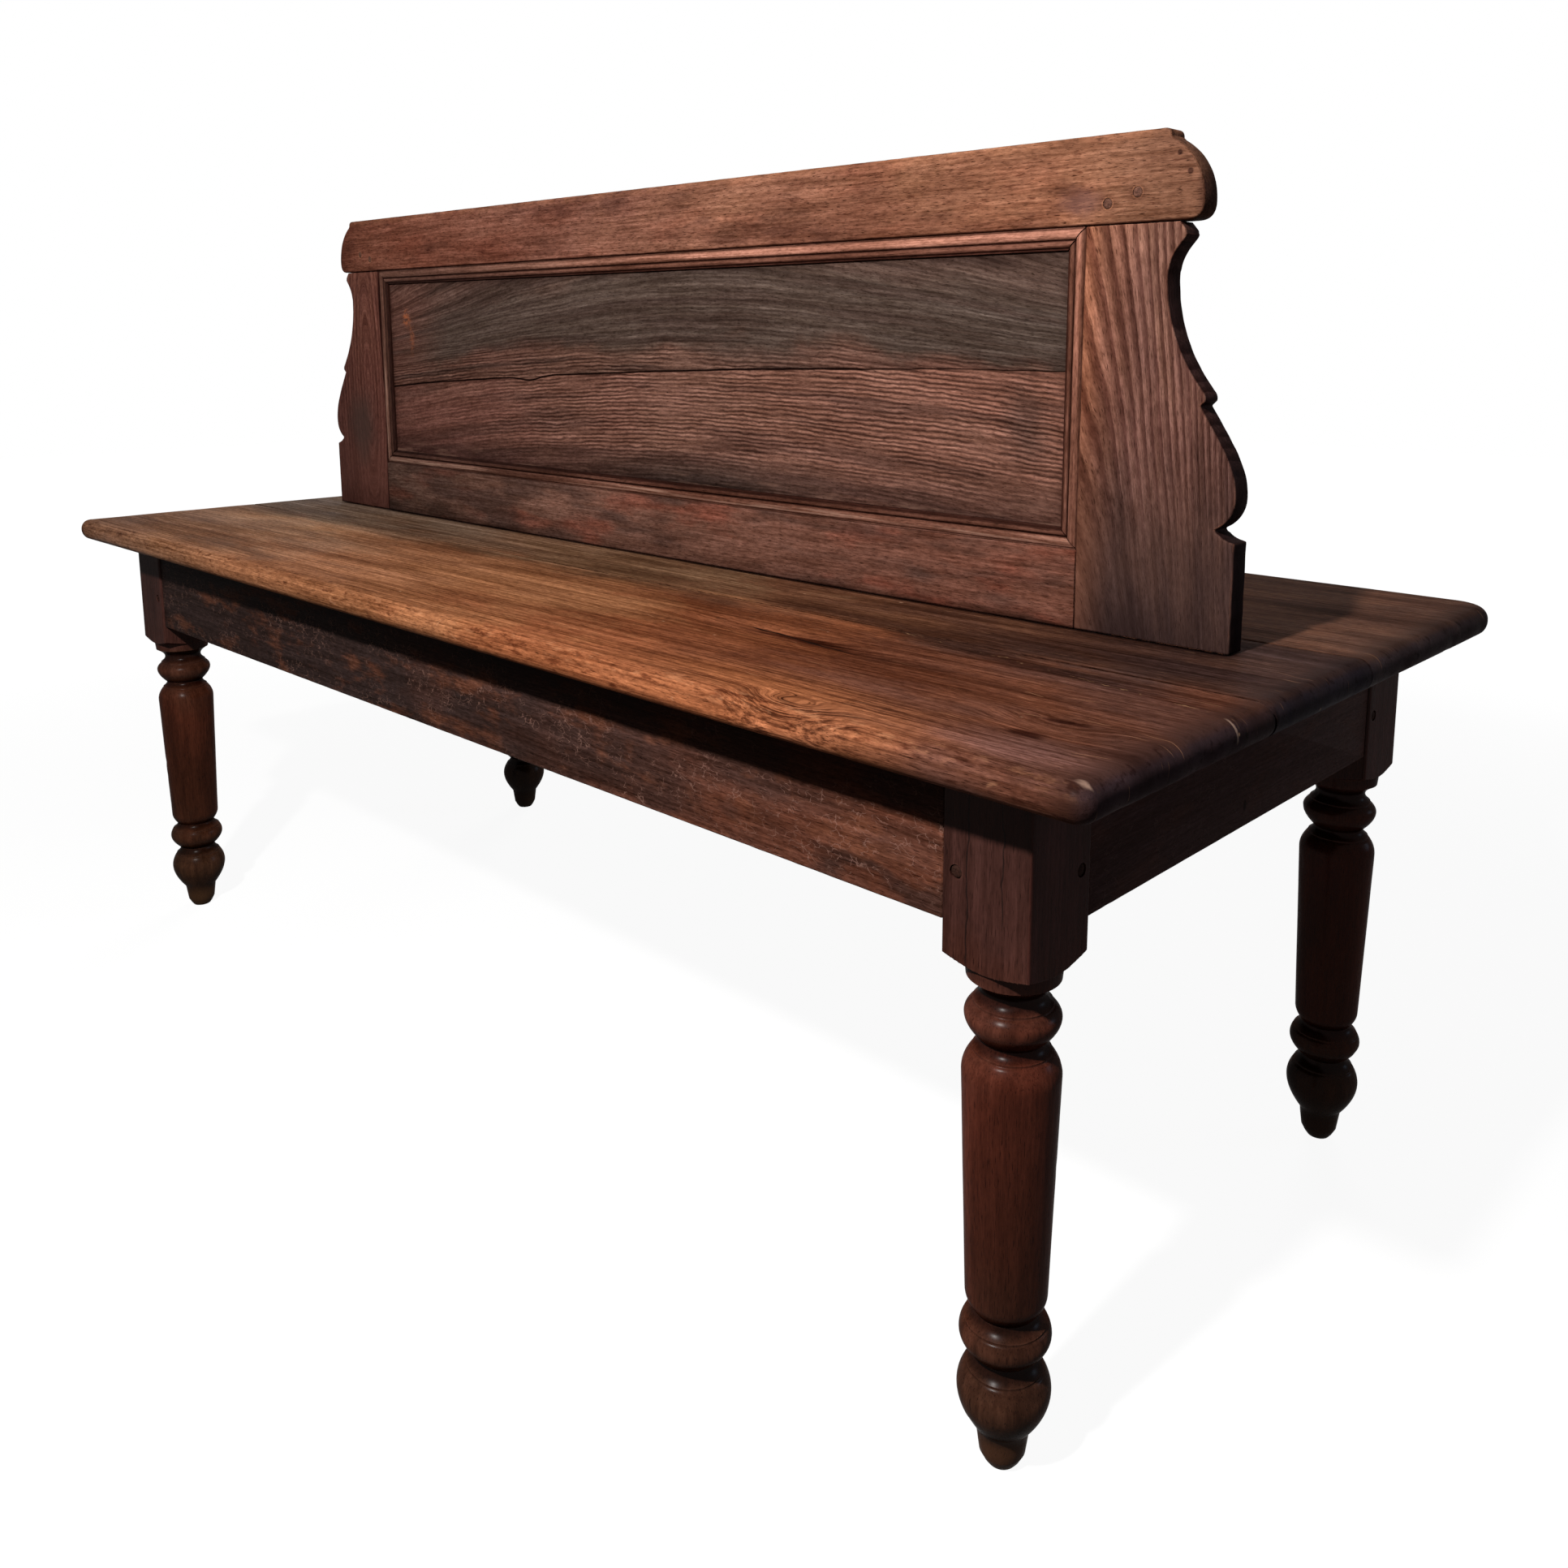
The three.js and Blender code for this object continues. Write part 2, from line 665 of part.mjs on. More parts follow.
// Pieces under the seat

// A bearer from apron to apron; the outer two are mortised for the stiles and bored for a peg.
function bearerSolid(side) {
  const half = bearer.width / 2;
  const end = apronInnerY - fit;
  const bar = box([-half, -end, bearerBottom], [half, end, bearerTop]).add(bearerTenon(0));
  const body = bar.translate([side * bearerX - back.leftShift, 0, 0]);
  if (side === 0) {
    return body;
  }
  return body
    .subtract(footTenonSolid(side, fit).translate(backPlace))
    .subtract(footPegSolid(side, fit, overrun).translate(backPlace));
}

// A glue block under the seat, along X, against an apron whose inner face is at y = -innerFace.
function glueBlockSolid(innerFace) {
  const y = -innerFace + fit;
  const section = new THREE.Shape();
  section.moveTo(y, frameTop);
  section.lineTo(y, frameTop - glueBlock.side);
  section.lineTo(y + glueBlock.side, frameTop);
  return lengthAlong(section, -glueBlock.length / 2, glueBlock.length / 2);
}

// Assembly
const bench = new THREE.Group();
bench.name = 'monks_bench';

const middle = [0, 0, 0];

// Adds a solid as a named mesh at the given place, turned about the vertical.
function place(name, body, material, at = middle, turn = 0) {
  const mesh = new THREE.Mesh(geometryOf(body), material);
  mesh.name = name;
  mesh.position.set(...at);
  mesh.rotation.z = turn;
  bench.add(mesh);
}

const corners = [
  { name: 'front_left', at: [-postX, -postY, 0], turn: 0 },
  { name: 'front_right', at: [postX, -postY, 0], turn: quarter },
  { name: 'rear_right', at: [postX, postY, 0], turn: 2 * quarter },
  { name: 'rear_left', at: [-postX, postY, 0], turn: 3 * quarter },
];

const leg = legSolid();
const pegAcross = legPegSolid(0, 0);
const pegAlong = pegAcross.mirror([1, -1, 0]);
for (const { name, at, turn } of corners) {
  place(`leg_${name}`, leg, legOak, at, turn);
  place(`leg_peg_${name}_a`, pegAcross, pegOak, at, turn);
  place(`leg_peg_${name}_b`, pegAlong, pegOak, at, turn);
}

const longBody = longApron();
place('apron_front', longBody, frameOak);
place('apron_rear', longBody.mirror([0, 1, 0]), frameOak);
const endBody = apronSolid(innerPostY, apronFaceX);
place('apron_right', endBody, frameOak, middle, quarter);
place('apron_left', endBody, frameOak, middle, -quarter);

const slab = seatSlab();
const pastEdge = seat.width / 2 + overrun;
let middlePlank = plank(slab, frontSeam + fit / 2, rearSeam - fit / 2);
for (const side of [-1, 1]) {
  middlePlank = middlePlank.subtract(footTenonSolid(side, fit).translate(backPlace));
}
place('seat_plank_front', plank(slab, -pastEdge, frontSeam - fit / 2), seatOak);
place('seat_plank_middle', middlePlank, seatOak);
place('seat_plank_rear', plank(slab, rearSeam + fit / 2, pastEdge), seatOak);

for (const [name, side] of [['left', -1], ['middle', 0], ['right', 1]]) {
  place(`seat_bearer_${name}`, bearerSolid(side), hiddenOak);
}
for (const [index, share] of [-glueBlock.alongFrontShare, glueBlock.alongFrontShare].entries()) {
  const body = glueBlockSolid(apronInnerY).translate([share * frameLength / 2, 0, 0]);
  place(`glue_block_front_${index + 1}`, body, hiddenOak);
  place(`glue_block_rear_${index + 1}`, body, hiddenOak, middle, 2 * quarter);
}
for (const [index, share] of [-glueBlock.alongEndShare, glueBlock.alongEndShare].entries()) {
  const body = glueBlockSolid(apronInnerX).translate([share * frameWidth / 2, 0, 0]);
  place(`glue_block_right_${index + 1}`, body, hiddenOak, middle, quarter);
  place(`glue_block_left_${index + 1}`, body, hiddenOak, middle, -quarter);
}

for (const [name, side] of [['left', -1], ['right', 1]]) {
  place(`back_stile_${name}`, stileSolid(side), backOak, backPlace);
  railPegs(side, 0, railPeg.proud).forEach((peg, index) => {
    place(`back_peg_${name}_${index + 1}`, peg, pegOak, backPlace);
  });
  place(`foot_peg_${name}`, footPegSolid(side, 0, footPeg.proud), pegOak, backPlace);
}
place('back_top_rail', topRailSolid(), backOak, backPlace);
place('back_bottom_rail', bottomRailSolid(), backOak, backPlace);
place('back_panel_lower', panelBoard(false), panelOak, backPlace);
place('back_panel_upper', panelBoard(true), panelOak, backPlace);
for (const [face, facing] of [['front', -1], ['rear', 1]]) {
  for (const { name, body } of mouldings(facing)) {
    place(`moulding_${face}_${name}`, body, backOak, backPlace);
  }
}

export default bench;
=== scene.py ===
"""A double-sided oak bench on turned legs, its panelled back standing along the middle of the seat.

Metres, +Z up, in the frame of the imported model: X along the bench, -Y the front.
"""

import math
from types import SimpleNamespace

import bmesh
import bpy
from mathutils import Matrix, Vector, noise


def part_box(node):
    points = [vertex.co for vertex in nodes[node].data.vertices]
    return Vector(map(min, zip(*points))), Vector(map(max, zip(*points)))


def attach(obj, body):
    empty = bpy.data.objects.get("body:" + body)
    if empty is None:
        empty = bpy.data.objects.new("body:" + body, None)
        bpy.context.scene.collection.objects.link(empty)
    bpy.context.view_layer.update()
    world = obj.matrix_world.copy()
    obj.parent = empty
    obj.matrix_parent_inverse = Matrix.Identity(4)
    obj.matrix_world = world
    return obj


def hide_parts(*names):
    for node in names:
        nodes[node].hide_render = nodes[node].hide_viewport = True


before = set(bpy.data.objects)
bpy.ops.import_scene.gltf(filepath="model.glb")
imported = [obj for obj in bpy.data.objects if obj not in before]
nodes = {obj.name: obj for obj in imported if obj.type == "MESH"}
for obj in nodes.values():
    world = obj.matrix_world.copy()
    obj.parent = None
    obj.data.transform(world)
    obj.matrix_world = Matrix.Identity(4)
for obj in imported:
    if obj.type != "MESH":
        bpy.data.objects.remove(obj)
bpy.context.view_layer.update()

MM = 0.001


# Sizes that follow from the frame

def low(node):
    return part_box(node)[0]


def high(node):
    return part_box(node)[1]


def middle_of(node):
    return (low(node) + high(node)) / 2


SEAT_TOP = high("seat_plank_front").z
SEAT_UNDERSIDE = low("seat_plank_front").z
SEAT_END = high("seat_plank_front").x
SEAT_FRONT = low("seat_plank_front").y
SEAT_REAR = high("seat_plank_rear").y
FRONT_SEAM = (high("seat_plank_front").y + low("seat_plank_middle").y) / 2
REAR_SEAM = (high("seat_plank_middle").y + low("seat_plank_rear").y) / 2
BACK_X, BACK_Y = middle_of("back_bottom_rail").xy
BACK_HALF = (high("back_bottom_rail").y - low("back_bottom_rail").y) / 2
PANEL_HALF = (high("back_panel_lower").y - low("back_panel_lower").y) / 2
BACK_TOP = high("back_top_rail").z
RAIL_UNDERSIDE = low("back_top_rail").z
BOTTOM_RAIL_TOP = high("back_bottom_rail").z
FIT = 0.3 * MM
HALF_FIT = FIT / 2
PEG_FIT = 0.08 * MM
SEAM_REACH = high("moulding_front_bottom").x - BACK_X + FIT


# Meshes

def show(name, mesh, slot, smooth_degrees):
    """A mesh as a piece of the bench, in place of its node in the frame."""
    shown = bpy.data.objects.new(f"{name}_shown", mesh)
    bpy.context.scene.collection.objects.link(shown)
    finish_mesh(shown, smooth_degrees)
    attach(shown, "root")
    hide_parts(name)
    return shown


def mesh_of(name, vertices, faces):
    mesh = bpy.data.meshes.new(name)
    mesh.from_pydata([tuple(v) for v in vertices], [], faces)
    return mesh


def finish_mesh(shown, smooth_degrees):
    """Faces pointing out, and smooth shading up to the given angle."""
    mesh = shown.data
    work = bmesh.new()
    work.from_mesh(mesh)
    bmesh.ops.recalc_face_normals(work, faces=work.faces)
    work.to_mesh(mesh)
    work.free()
    mesh.shade_smooth()
    mesh.set_sharp_from_angle(angle=math.radians(smooth_degrees))
    mesh.update()


def rough(point, scale, seed=0.0):
    """Smooth noise from -1 to 1 at a point, its coordinates times the scale."""
    return noise.noise(Vector(point) * scale + Vector((seed * 7.3, seed * 3.1, seed * 5.7)))


def bezier(points, steps):
    """Points along a straight line or a curve with one or two pulls, without its first one."""
    found = []
    for step in range(1, steps + 1):
        t = step / steps
        row = [Vector(p) for p in points]
        while len(row) > 1:
            row = [a.lerp(b, t) for a, b in zip(row, row[1:])]
        found.append(row[0])
    return found


def resampled(outline, step):
    """The closed outline with extra points, so that none is further than a step from the next."""
    found = []
    for a, b in zip(outline, outline[1:] + outline[:1]):
        count = max(1, math.ceil((b - a).length / step))
        found += [a.lerp(b, index / count) for index in range(count)]
    return found


def tube_faces(rows, count):
    """The faces of a closed body made of rings of so many vertices each, with its two ends."""
    faces = [list(range(count)), list(range((rows - 1) * count, rows * count))]
    for row in range(rows - 1):
        for i in range(count):
            j = (i + 1) % count
            faces.append([row * count + i, row * count + j, (row + 1) * count + j, (row + 1) * count + i])
    return faces


def ring(along, centre, place, radius, sides, uneven=lambda angle: 1):
    """Points of a ring round an axis (0, 1 or 2); uneven gives the share of its radius at an angle."""
    others = [index for index in range(3) if index != along]
    found = []
    for side in range(sides):
        angle = 2 * math.pi * side / sides
        point = Vector()
        point[along] = place
        point[others[0]] = centre[others[0]] + radius * uneven(angle) * math.cos(angle)
        point[others[1]] = centre[others[1]] + radius * uneven(angle) * math.sin(angle)
        found.append(point)
    return found


ROD_SIDES = 32


def rod_mesh(along, centre, start, end, radius):
    """Vertices and faces of a plain cylinder along an axis, used to bore holes."""
    vertices = ring(along, centre, start, radius, ROD_SIDES) + ring(along, centre, end, radius, ROD_SIDES)
    return vertices, tube_faces(2, ROD_SIDES)


def box_mesh(corner_low, corner_high):
    """Vertices and faces of a plain box, used for hidden tenons."""
    vertices = [Vector((x, y, z)) for x in (corner_low[0], corner_high[0])
                for y in (corner_low[1], corner_high[1]) for z in (corner_low[2], corner_high[2])]
    return vertices, [[0, 1, 3, 2], [4, 6, 7, 5], [0, 4, 5, 1], [2, 3, 7, 6], [0, 2, 6, 4], [1, 5, 7, 3]]


def cut(shown, shapes, smooth_degrees):
    """Cuts closed shapes out of a piece."""
    for index, (vertices, faces) in enumerate(shapes):
        tool = bpy.data.objects.new("tool", mesh_of(f"{shown.name}_cut_{index}", vertices, faces))
        bpy.context.scene.collection.objects.link(tool)
        finish_mesh(tool, smooth_degrees)
        change = shown.modifiers.new("cut", "BOOLEAN")
        change.operation = "DIFFERENCE"
        change.solver = "EXACT"
        change.object = tool
        bpy.context.view_layer.update()
        whole = shown.evaluated_get(bpy.context.evaluated_depsgraph_get())
        after = bpy.data.meshes.new_from_object(whole)
        shown.modifiers.remove(change)
        shown.data = after
        bpy.data.objects.remove(tool)
    shown.data.set_sharp_from_angle(angle=math.radians(smooth_degrees))


# Camera, set to the photograph's view

FRAME_PIXELS = 1932
SENSOR_WIDTH = 36.0
FOCAL_PIXELS = 1644.3
CENTRE_PIXELS = (1007.5, 679.9)
CAMERA_AT = (0.96473, -0.80088, 0.65478)
CAMERA_YAW = 43.358
CAMERA_PITCH = 9.273


def add_camera():
    data = bpy.data.cameras.new("camera")
    camera = bpy.data.objects.new("camera", data)
    bpy.context.scene.collection.objects.link(camera)
    camera.location = CAMERA_AT
    camera.rotation_euler = (math.radians(90 - CAMERA_PITCH), 0, math.radians(CAMERA_YAW))
    data.sensor_fit = "HORIZONTAL"
    data.sensor_width = SENSOR_WIDTH
    data.lens = FOCAL_PIXELS / FRAME_PIXELS * SENSOR_WIDTH
    data.shift_x = (FRAME_PIXELS / 2 - CENTRE_PIXELS[0]) / FRAME_PIXELS
    data.shift_y = (CENTRE_PIXELS[1] - FRAME_PIXELS / 2) / FRAME_PIXELS
    data.clip_start = 0.02
    bpy.context.scene.camera = camera


add_camera()


# Turned legs

TURNING = [
    ("pad", 0, 9),
    ("pad_edge", 3, 11.2),
    ("stub_foot", 8, 13.8),
    ("stub_head", 24, 16),
    ("foot_ball", 50, 27.6),
    ("ball_ring", 64, 23.4),
    ("low_neck", 72, 17.8),
    ("low_bead", 86, 27),
    ("low_ring", 93.5, 25.2),
    ("shin_neck", 101, 19),
    ("shaft_foot", 112, 24),
    ("shaft_head", 248, 28.4),
    ("shoulder_ring", 261.5, 23.4),
    ("high_neck", 268, 18.4),
    ("high_bead", 282.5, 27.4),
    ("high_ring", 290, 23.6),
    ("collar_neck", 297, 18.4),
    ("collar", 306, 26.8),
    ("block_foot", 314, 27.6),
]
RING_HALF = 0.9
RING_DEEP = 1.35
SWELL_SHARE = 0.57
BLOCK_RISE = 5.5 * MM
BLOCK_RISE_STEPS = 16
BLOCK_SHARES = (0.06, 0.25, 0.5, 0.75, 1)
CORNER_POWER = 34
CORNER_OFFSETS = (0, 0.5, 1.1, 1.9, 3, 4.6, 7, 10.5, 15, 20, 25, 30, 35, 40, 45)
CURVE_STEPS = 9
LEG_DENT = 0.9 * MM
LEG_DENT_FROM = 0.35
LEG_WAVE = 0.12 * MM
DEEPEST_DENT = 0.6 * MM
LEG_SMOOTH = 38
LEG_PEG_DEPTH = 12 * MM
PAST_FACE = 2 * MM


def leg_profile():
    """The turning's radius and height, from the floor to the foot of the square block, in metres."""
    at = {name: Vector((radius, z)) for name, z, radius in TURNING}
    path = [at["pad"]]

    def line(name):
        path.extend(bezier([path[-1], at[name]], steps=3))

    def swell(name):
        neck, crown = path[-1], at[name]
        pull = Vector((crown.x, neck.y + SWELL_SHARE * (crown.y - neck.y)))
        path.extend(bezier([neck, pull, crown], CURVE_STEPS))

    def fall(ring_name, neck_name):
        crown, groove, neck = path[-1], at[ring_name], at[neck_name]
        lower, upper = groove.y - RING_HALF, groove.y + RING_HALF
        pull = Vector((crown.x, (crown.y + lower) / 2))
        path.extend(bezier([crown, pull, Vector((groove.x, lower))], CURVE_STEPS))
        pull = Vector((groove.x - RING_DEEP, groove.y - RING_HALF / 2))
        path.extend(bezier([path[-1], pull, Vector((groove.x - RING_HALF, upper))], steps=4))
        path.extend(bezier([path[-1], Vector((neck.x, (upper + neck.y) / 2)), neck], CURVE_STEPS))

    for name in ("pad_edge", "stub_foot", "stub_head"):
        line(name)
    swell("foot_ball")
    fall("ball_ring", "low_neck")
    swell("low_bead")
    fall("low_ring", "shin_neck")
    swell("shaft_foot")
    path.extend(bezier([path[-1], at["shaft_head"]], steps=24))
    fall("shoulder_ring", "high_neck")
    swell("high_bead")
    fall("high_ring", "collar_neck")
    neck, collar = path[-1], at["collar"]
    path.extend(bezier([neck, Vector((neck.x, (neck.y + collar.y) / 2)), collar], CURVE_STEPS))
    line("block_foot")
    return [p * MM for p in path]


def leg_angles():
    """Angles round the leg: even ones, with finer steps by the four corners of its block."""
    found = {(corner + way * offset) % 360 for corner in (45, 135, 225, 315) for offset in CORNER_OFFSETS
             for way in (1, -1)}
    return [math.radians(angle) for angle in sorted(found)]


def leg_rows(reach, block_top):
    """Each ring of vertices from the floor up: its height, its radius, and whether it is on the block."""
    profile = leg_profile()
    block_foot = profile[-1]
    rows = [(p.y, p.x, False) for p in profile]
    for step in range(1, BLOCK_RISE_STEPS + 1):
        share = step / BLOCK_RISE_STEPS
        rows.append((block_foot.y + share * BLOCK_RISE, block_foot.x + share * (reach - block_foot.x), True))
    above = block_foot.y + BLOCK_RISE
    return rows + [(above + share * (block_top - above), reach, True) for share in BLOCK_SHARES]


def turned_leg(name, seed):
    """A leg: a turned profile that turns into a square block, its lower corners cut off by the lathe."""
    centre = middle_of(name)
    block_half = (high(name).x - low(name).x) / 2
    rows = leg_rows(math.hypot(block_half, block_half), high(name).z)
    angles = leg_angles()
    vertices = []
    for z, radius, square in rows:
        for angle in angles:
            c, s = math.cos(angle), math.sin(angle)
            r = radius
            if square:
                flat = block_half / (abs(c) ** CORNER_POWER + abs(s) ** CORNER_POWER) ** (1 / CORNER_POWER)
                r = min(radius, flat)
            spot = (c * r, s * r, z)
            dent = max(0.0, rough(spot, 90, seed) - LEG_DENT_FROM) * LEG_DENT
            wave = LEG_WAVE * (1 + rough(spot, 22, seed + 5))
            if not square or r < flat:
                r -= min(dent + wave, DEEPEST_DENT)
            vertices.append(Vector((centre.x + c * r, centre.y + s * r, z)))
    mesh = mesh_of(name, vertices, tube_faces(len(rows), len(angles)))
    shown = show(name, mesh, "leg_oak", LEG_SMOOTH)
    holes = []
    for letter in "ab":
        peg_low, peg_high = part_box(f"leg_peg_{name.removeprefix('leg_')}_{letter}")
        size = peg_high - peg_low
        along = 0 if size.x > size.y else 1
        middle = (peg_low + peg_high) / 2
        outside = 1 if middle[along] > centre[along] else -1
        ends = sorted(centre[along] + outside * (block_half + past) for past in (PAST_FACE, -LEG_PEG_DEPTH))
        holes.append(rod_mesh(along, middle, *ends, size.z / 2 + PEG_FIT))
    cut(shown, holes, LEG_SMOOTH)


# Pegs

PEG_DOME = [(0.0, 0.25), (0.18 * MM, 0.55), (0.35 * MM, 0.8), (0.7 * MM, 0.95), (1.3 * MM, 1.0)]
PEG_SIDES = 28
PEG_UNEVEN = 0.015


def peg(name, seed=0.0):
    """A riven oak peg in place of a plain one: not quite round, with its ends slightly domed."""
    size = high(name) - low(name)
    along = max(range(3), key=lambda index: size[index])
    radius = min(size) / 2
    centre = middle_of(name)
    half = size[along] / 2
    stations = [(-half + inset, share) for inset, share in PEG_DOME]
    stations += [(half - inset, share) for inset, share in reversed(PEG_DOME)]

    def uneven(angle):
        return 1 - PEG_UNEVEN * (1 + rough((math.cos(angle), math.sin(angle), 0), 1.4, seed + 2))

    vertices = []
    for place, share in stations:
        vertices += ring(along, centre, centre[along] + place, radius * share, PEG_SIDES, uneven)
    show(name, mesh_of(name, vertices, tube_faces(len(stations), PEG_SIDES)), "peg_oak", smooth_degrees=50)


# Sawn boards

BOARD_SMOOTH = 32
SHARP_CORNER = 50


def sawn_board(name, slot, outline, y0, y1, arris, wobble, step, seed, turn=None, extra=()):
    """A board with an outline in X and Z between two places on Y, its arrises worn round.

    wobble is how far its edges stray inwards. turn is a matrix that swings the finished board into
    place. extra are closed shapes joined to it as hidden tenons.
    """
    points = []
    dense = resampled([Vector((p[0], 0, p[1])) for p in outline], step)
    count = len(dense)
    middle = sum(dense, Vector()) / count
    for index, p in enumerate(dense):
        run = (dense[(index + 1) % count] - dense[index - 1]).normalized()
        side = Vector((run.z, 0, -run.x))
        if side.dot(middle - p) < 0:
            side.negate()
        points.append(p + side * wobble * 0.5 * (1 + rough(p, 120, seed)))
    work = bmesh.new()
    near = [work.verts.new((p.x, y0, p.z)) for p in points]
    far = [work.verts.new((p.x, y1, p.z)) for p in points]
    work.faces.new(near)
    work.faces.new(list(reversed(far)))
    for index in range(count):
        nxt = (index + 1) % count
        work.faces.new([near[index], far[index], far[nxt], near[nxt]])
    bmesh.ops.recalc_face_normals(work, faces=work.faces)
    rims = [e for e in work.edges if max(len(f.verts) for f in e.link_faces) > 4]
    sharp = [e for e in work.edges if e not in rims and e.calc_face_angle(0) > math.radians(SHARP_CORNER)]
    bmesh.ops.bevel(work, geom=rims + sharp, offset=arris, segments=3, profile=0.5, affect="EDGES",
                    clamp_overlap=True)
    for vertices, faces in extra:
        made = [work.verts.new(v) for v in vertices]
        for face in faces:
            work.faces.new([made[i] for i in face])
    mesh = bpy.data.meshes.new(name)
    work.to_mesh(mesh)
    work.free()
    if turn:
        mesh.transform(turn)
    return show(name, mesh, slot, BOARD_SMOOTH)


def back_board(name, outline, **settings):
    """A board as thick as the back."""
    return sawn_board(name, "back_oak", outline, BACK_Y - BACK_HALF, BACK_Y + BACK_HALF, **settings)


# The stiles of the back

SCROLL_SHARES = {
    "plinth_top": (0, 0.2645),
    "plinth_pull": (0.0858, 0.2681),
    "plinth_notch": (0.1202, 0.2917),
    "belly_foot_pull": (0.0515, 0.3062),
    "belly_low_pull": (0.0052, 0.3297),
    "belly": (0.0052, 0.3696),
    "belly_high_pull": (0.0052, 0.4348),
    "belly_head_pull": (0.1116, 0.4964),
    "cusp_notch": (0.2403, 0.5761),
    "cusp_foot": (0.2112, 0.587),
    "cusp_pull": (0.2009, 0.5996),
    "cusp_head": (0.2318, 0.6123),
    "waist_low_pull": (0.3605, 0.6812),
    "waist_pull": (0.4635, 0.7609),
    "waist": (0.4678, 0.8768),
    "waist_high_pull": (0.4678, 0.9167),
    "lip_low_pull": (0.4292, 0.9348),
    "lip_foot": (0.382, 0.9583),
    "lip_pull": (0.3571, 0.9692),
    "lip": (0.3691, 0.9801),
    "head": (0.4077, 1),
}
FOOT_TENON_HALVES = (17 * MM, 6 * MM)


def stile(side_name, side):
    """One scroll-sawn stile; side is 1 for the right and -1 for the left."""
    name = f"back_stile_{side_name}"
    outer = high(name).x if side > 0 else low(name).x
    seam = BACK_X + side * SEAM_REACH
    width = abs(outer - seam)
    height = RAIL_UNDERSIDE - SEAT_TOP
    foot = SEAT_TOP + FIT

    def at(key):
        inward, up = SCROLL_SHARES[key]
        return Vector((outer - side * inward * width, SEAT_TOP + up * height))

    outline = [Vector((seam, foot)), Vector((outer, foot)), at("plinth_top")]

    def curve(*keys, steps=14):
        outline.extend(bezier([outline[-1]] + [at(key) for key in keys], steps))

    curve("plinth_pull", "plinth_notch", steps=8)
    curve("belly_foot_pull", "belly_low_pull", "belly")
    curve("belly_high_pull", "belly_head_pull", "cusp_notch", steps=20)
    curve("cusp_foot", steps=2)
    curve("cusp_pull", "cusp_head", steps=6)
    curve("waist_low_pull", "waist_pull", "waist", steps=24)
    curve("waist_high_pull", "lip_low_pull", "lip_foot")
    curve("lip_pull", "lip", steps=6)
    outline.append(Vector((at("head").x, RAIL_UNDERSIDE - FIT)))
    outline.append(Vector((seam, RAIL_UNDERSIDE - FIT)))
    tenon_low, tenon_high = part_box(f"foot_peg_{side_name}")
    middle = (tenon_low.x + tenon_high.x) / 2
    half_x, half_y = FOOT_TENON_HALVES
    tenon = box_mesh((middle - half_x, BACK_Y - half_y, low(name).z),
                     (middle + half_x, BACK_Y + half_y, SEAT_UNDERSIDE - FIT))
    back_board(name, outline, arris=0.9 * MM, wobble=0.5 * MM, step=2.5 * MM, seed=side + 3, extra=[tenon])


# The rails of the back

RAIL_END_SHARES = {
    "nose_up": 0.207,
    "nose_round": 0.19,
    "sweep_radius": 0.769,
    "sweep_turn": 0.34,
    "step_in": 0.0276,
    "top_round": 0.095,
}
SWEEP_STEPS = 24


def top_rail():
    """The top rail, each end a rounded nose, a long round sweep and a small step."""
    name = "back_top_rail"
    end = high(name).x - BACK_X
    height = BACK_TOP - RAIL_UNDERSIDE
    share = {key: value * height for key, value in RAIL_END_SHARES.items()}
    nose = RAIL_UNDERSIDE + share["nose_up"]
    radius = share["sweep_radius"]
    stop = RAIL_END_SHARES["sweep_turn"] * math.pi
    right = [Vector((end - share["nose_round"], RAIL_UNDERSIDE))]
    right += bezier([right[-1], Vector((end, RAIL_UNDERSIDE)), Vector((end, nose))], steps=12)
    for step in range(1, SWEEP_STEPS + 1):
        angle = stop * step / SWEEP_STEPS
        right.append(Vector((end - radius + radius * math.cos(angle), nose + radius * math.sin(angle))))
    step_x, step_z = right[-1].x - share["step_in"], right[-1].y + share["step_in"]
    right.append(Vector((step_x, step_z)))
    top_end = Vector((step_x - share["top_round"], BACK_TOP))
    right += bezier([right[-1], Vector((step_x, BACK_TOP)), top_end], steps=8)
    left = [Vector((-p.x, p.y)) for p in reversed(right)]
    outline = [Vector((p.x + BACK_X, p.y)) for p in right + left]
    shown = back_board(name, outline, arris=1.4 * MM, wobble=0.35 * MM, step=5 * MM, seed=8)
    holes = []
    for side_name in ("left", "right"):
        for index in (1, 2):
            peg_low, peg_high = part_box(f"back_peg_{side_name}_{index}")
            radius = (peg_high.z - peg_low.z) / 2 + PEG_FIT
            ends = (BACK_Y - 2 * BACK_HALF, BACK_Y + 2 * BACK_HALF)
            holes.append(rod_mesh(1, (peg_low + peg_high) / 2, *ends, radius))
    cut(shown, holes, BOARD_SMOOTH)


def bottom_rail():
    left, bottom = BACK_X - SEAM_REACH + FIT, SEAT_TOP + FIT
    right, top = 2 * BACK_X - left, BOTTOM_RAIL_TOP
    outline = [(left, bottom), (right, bottom), (right, top), (left, top)]
    back_board("back_bottom_rail", outline, arris=0.5 * MM, wobble=0.1 * MM, step=12 * MM, seed=9)


# The panel

JOINT_STEPS = 220
JOINT_STRAY = 1.1 * MM
JOINT_TREMBLE = 0.35 * MM
HOOK_AT = -189 * MM
HOOK_DEEP = 4 * MM
HOOK_REACH = 22 * MM
JOINT_SHARES = {"left": 0.4, "right": 0.559, "pull": 0.5614}


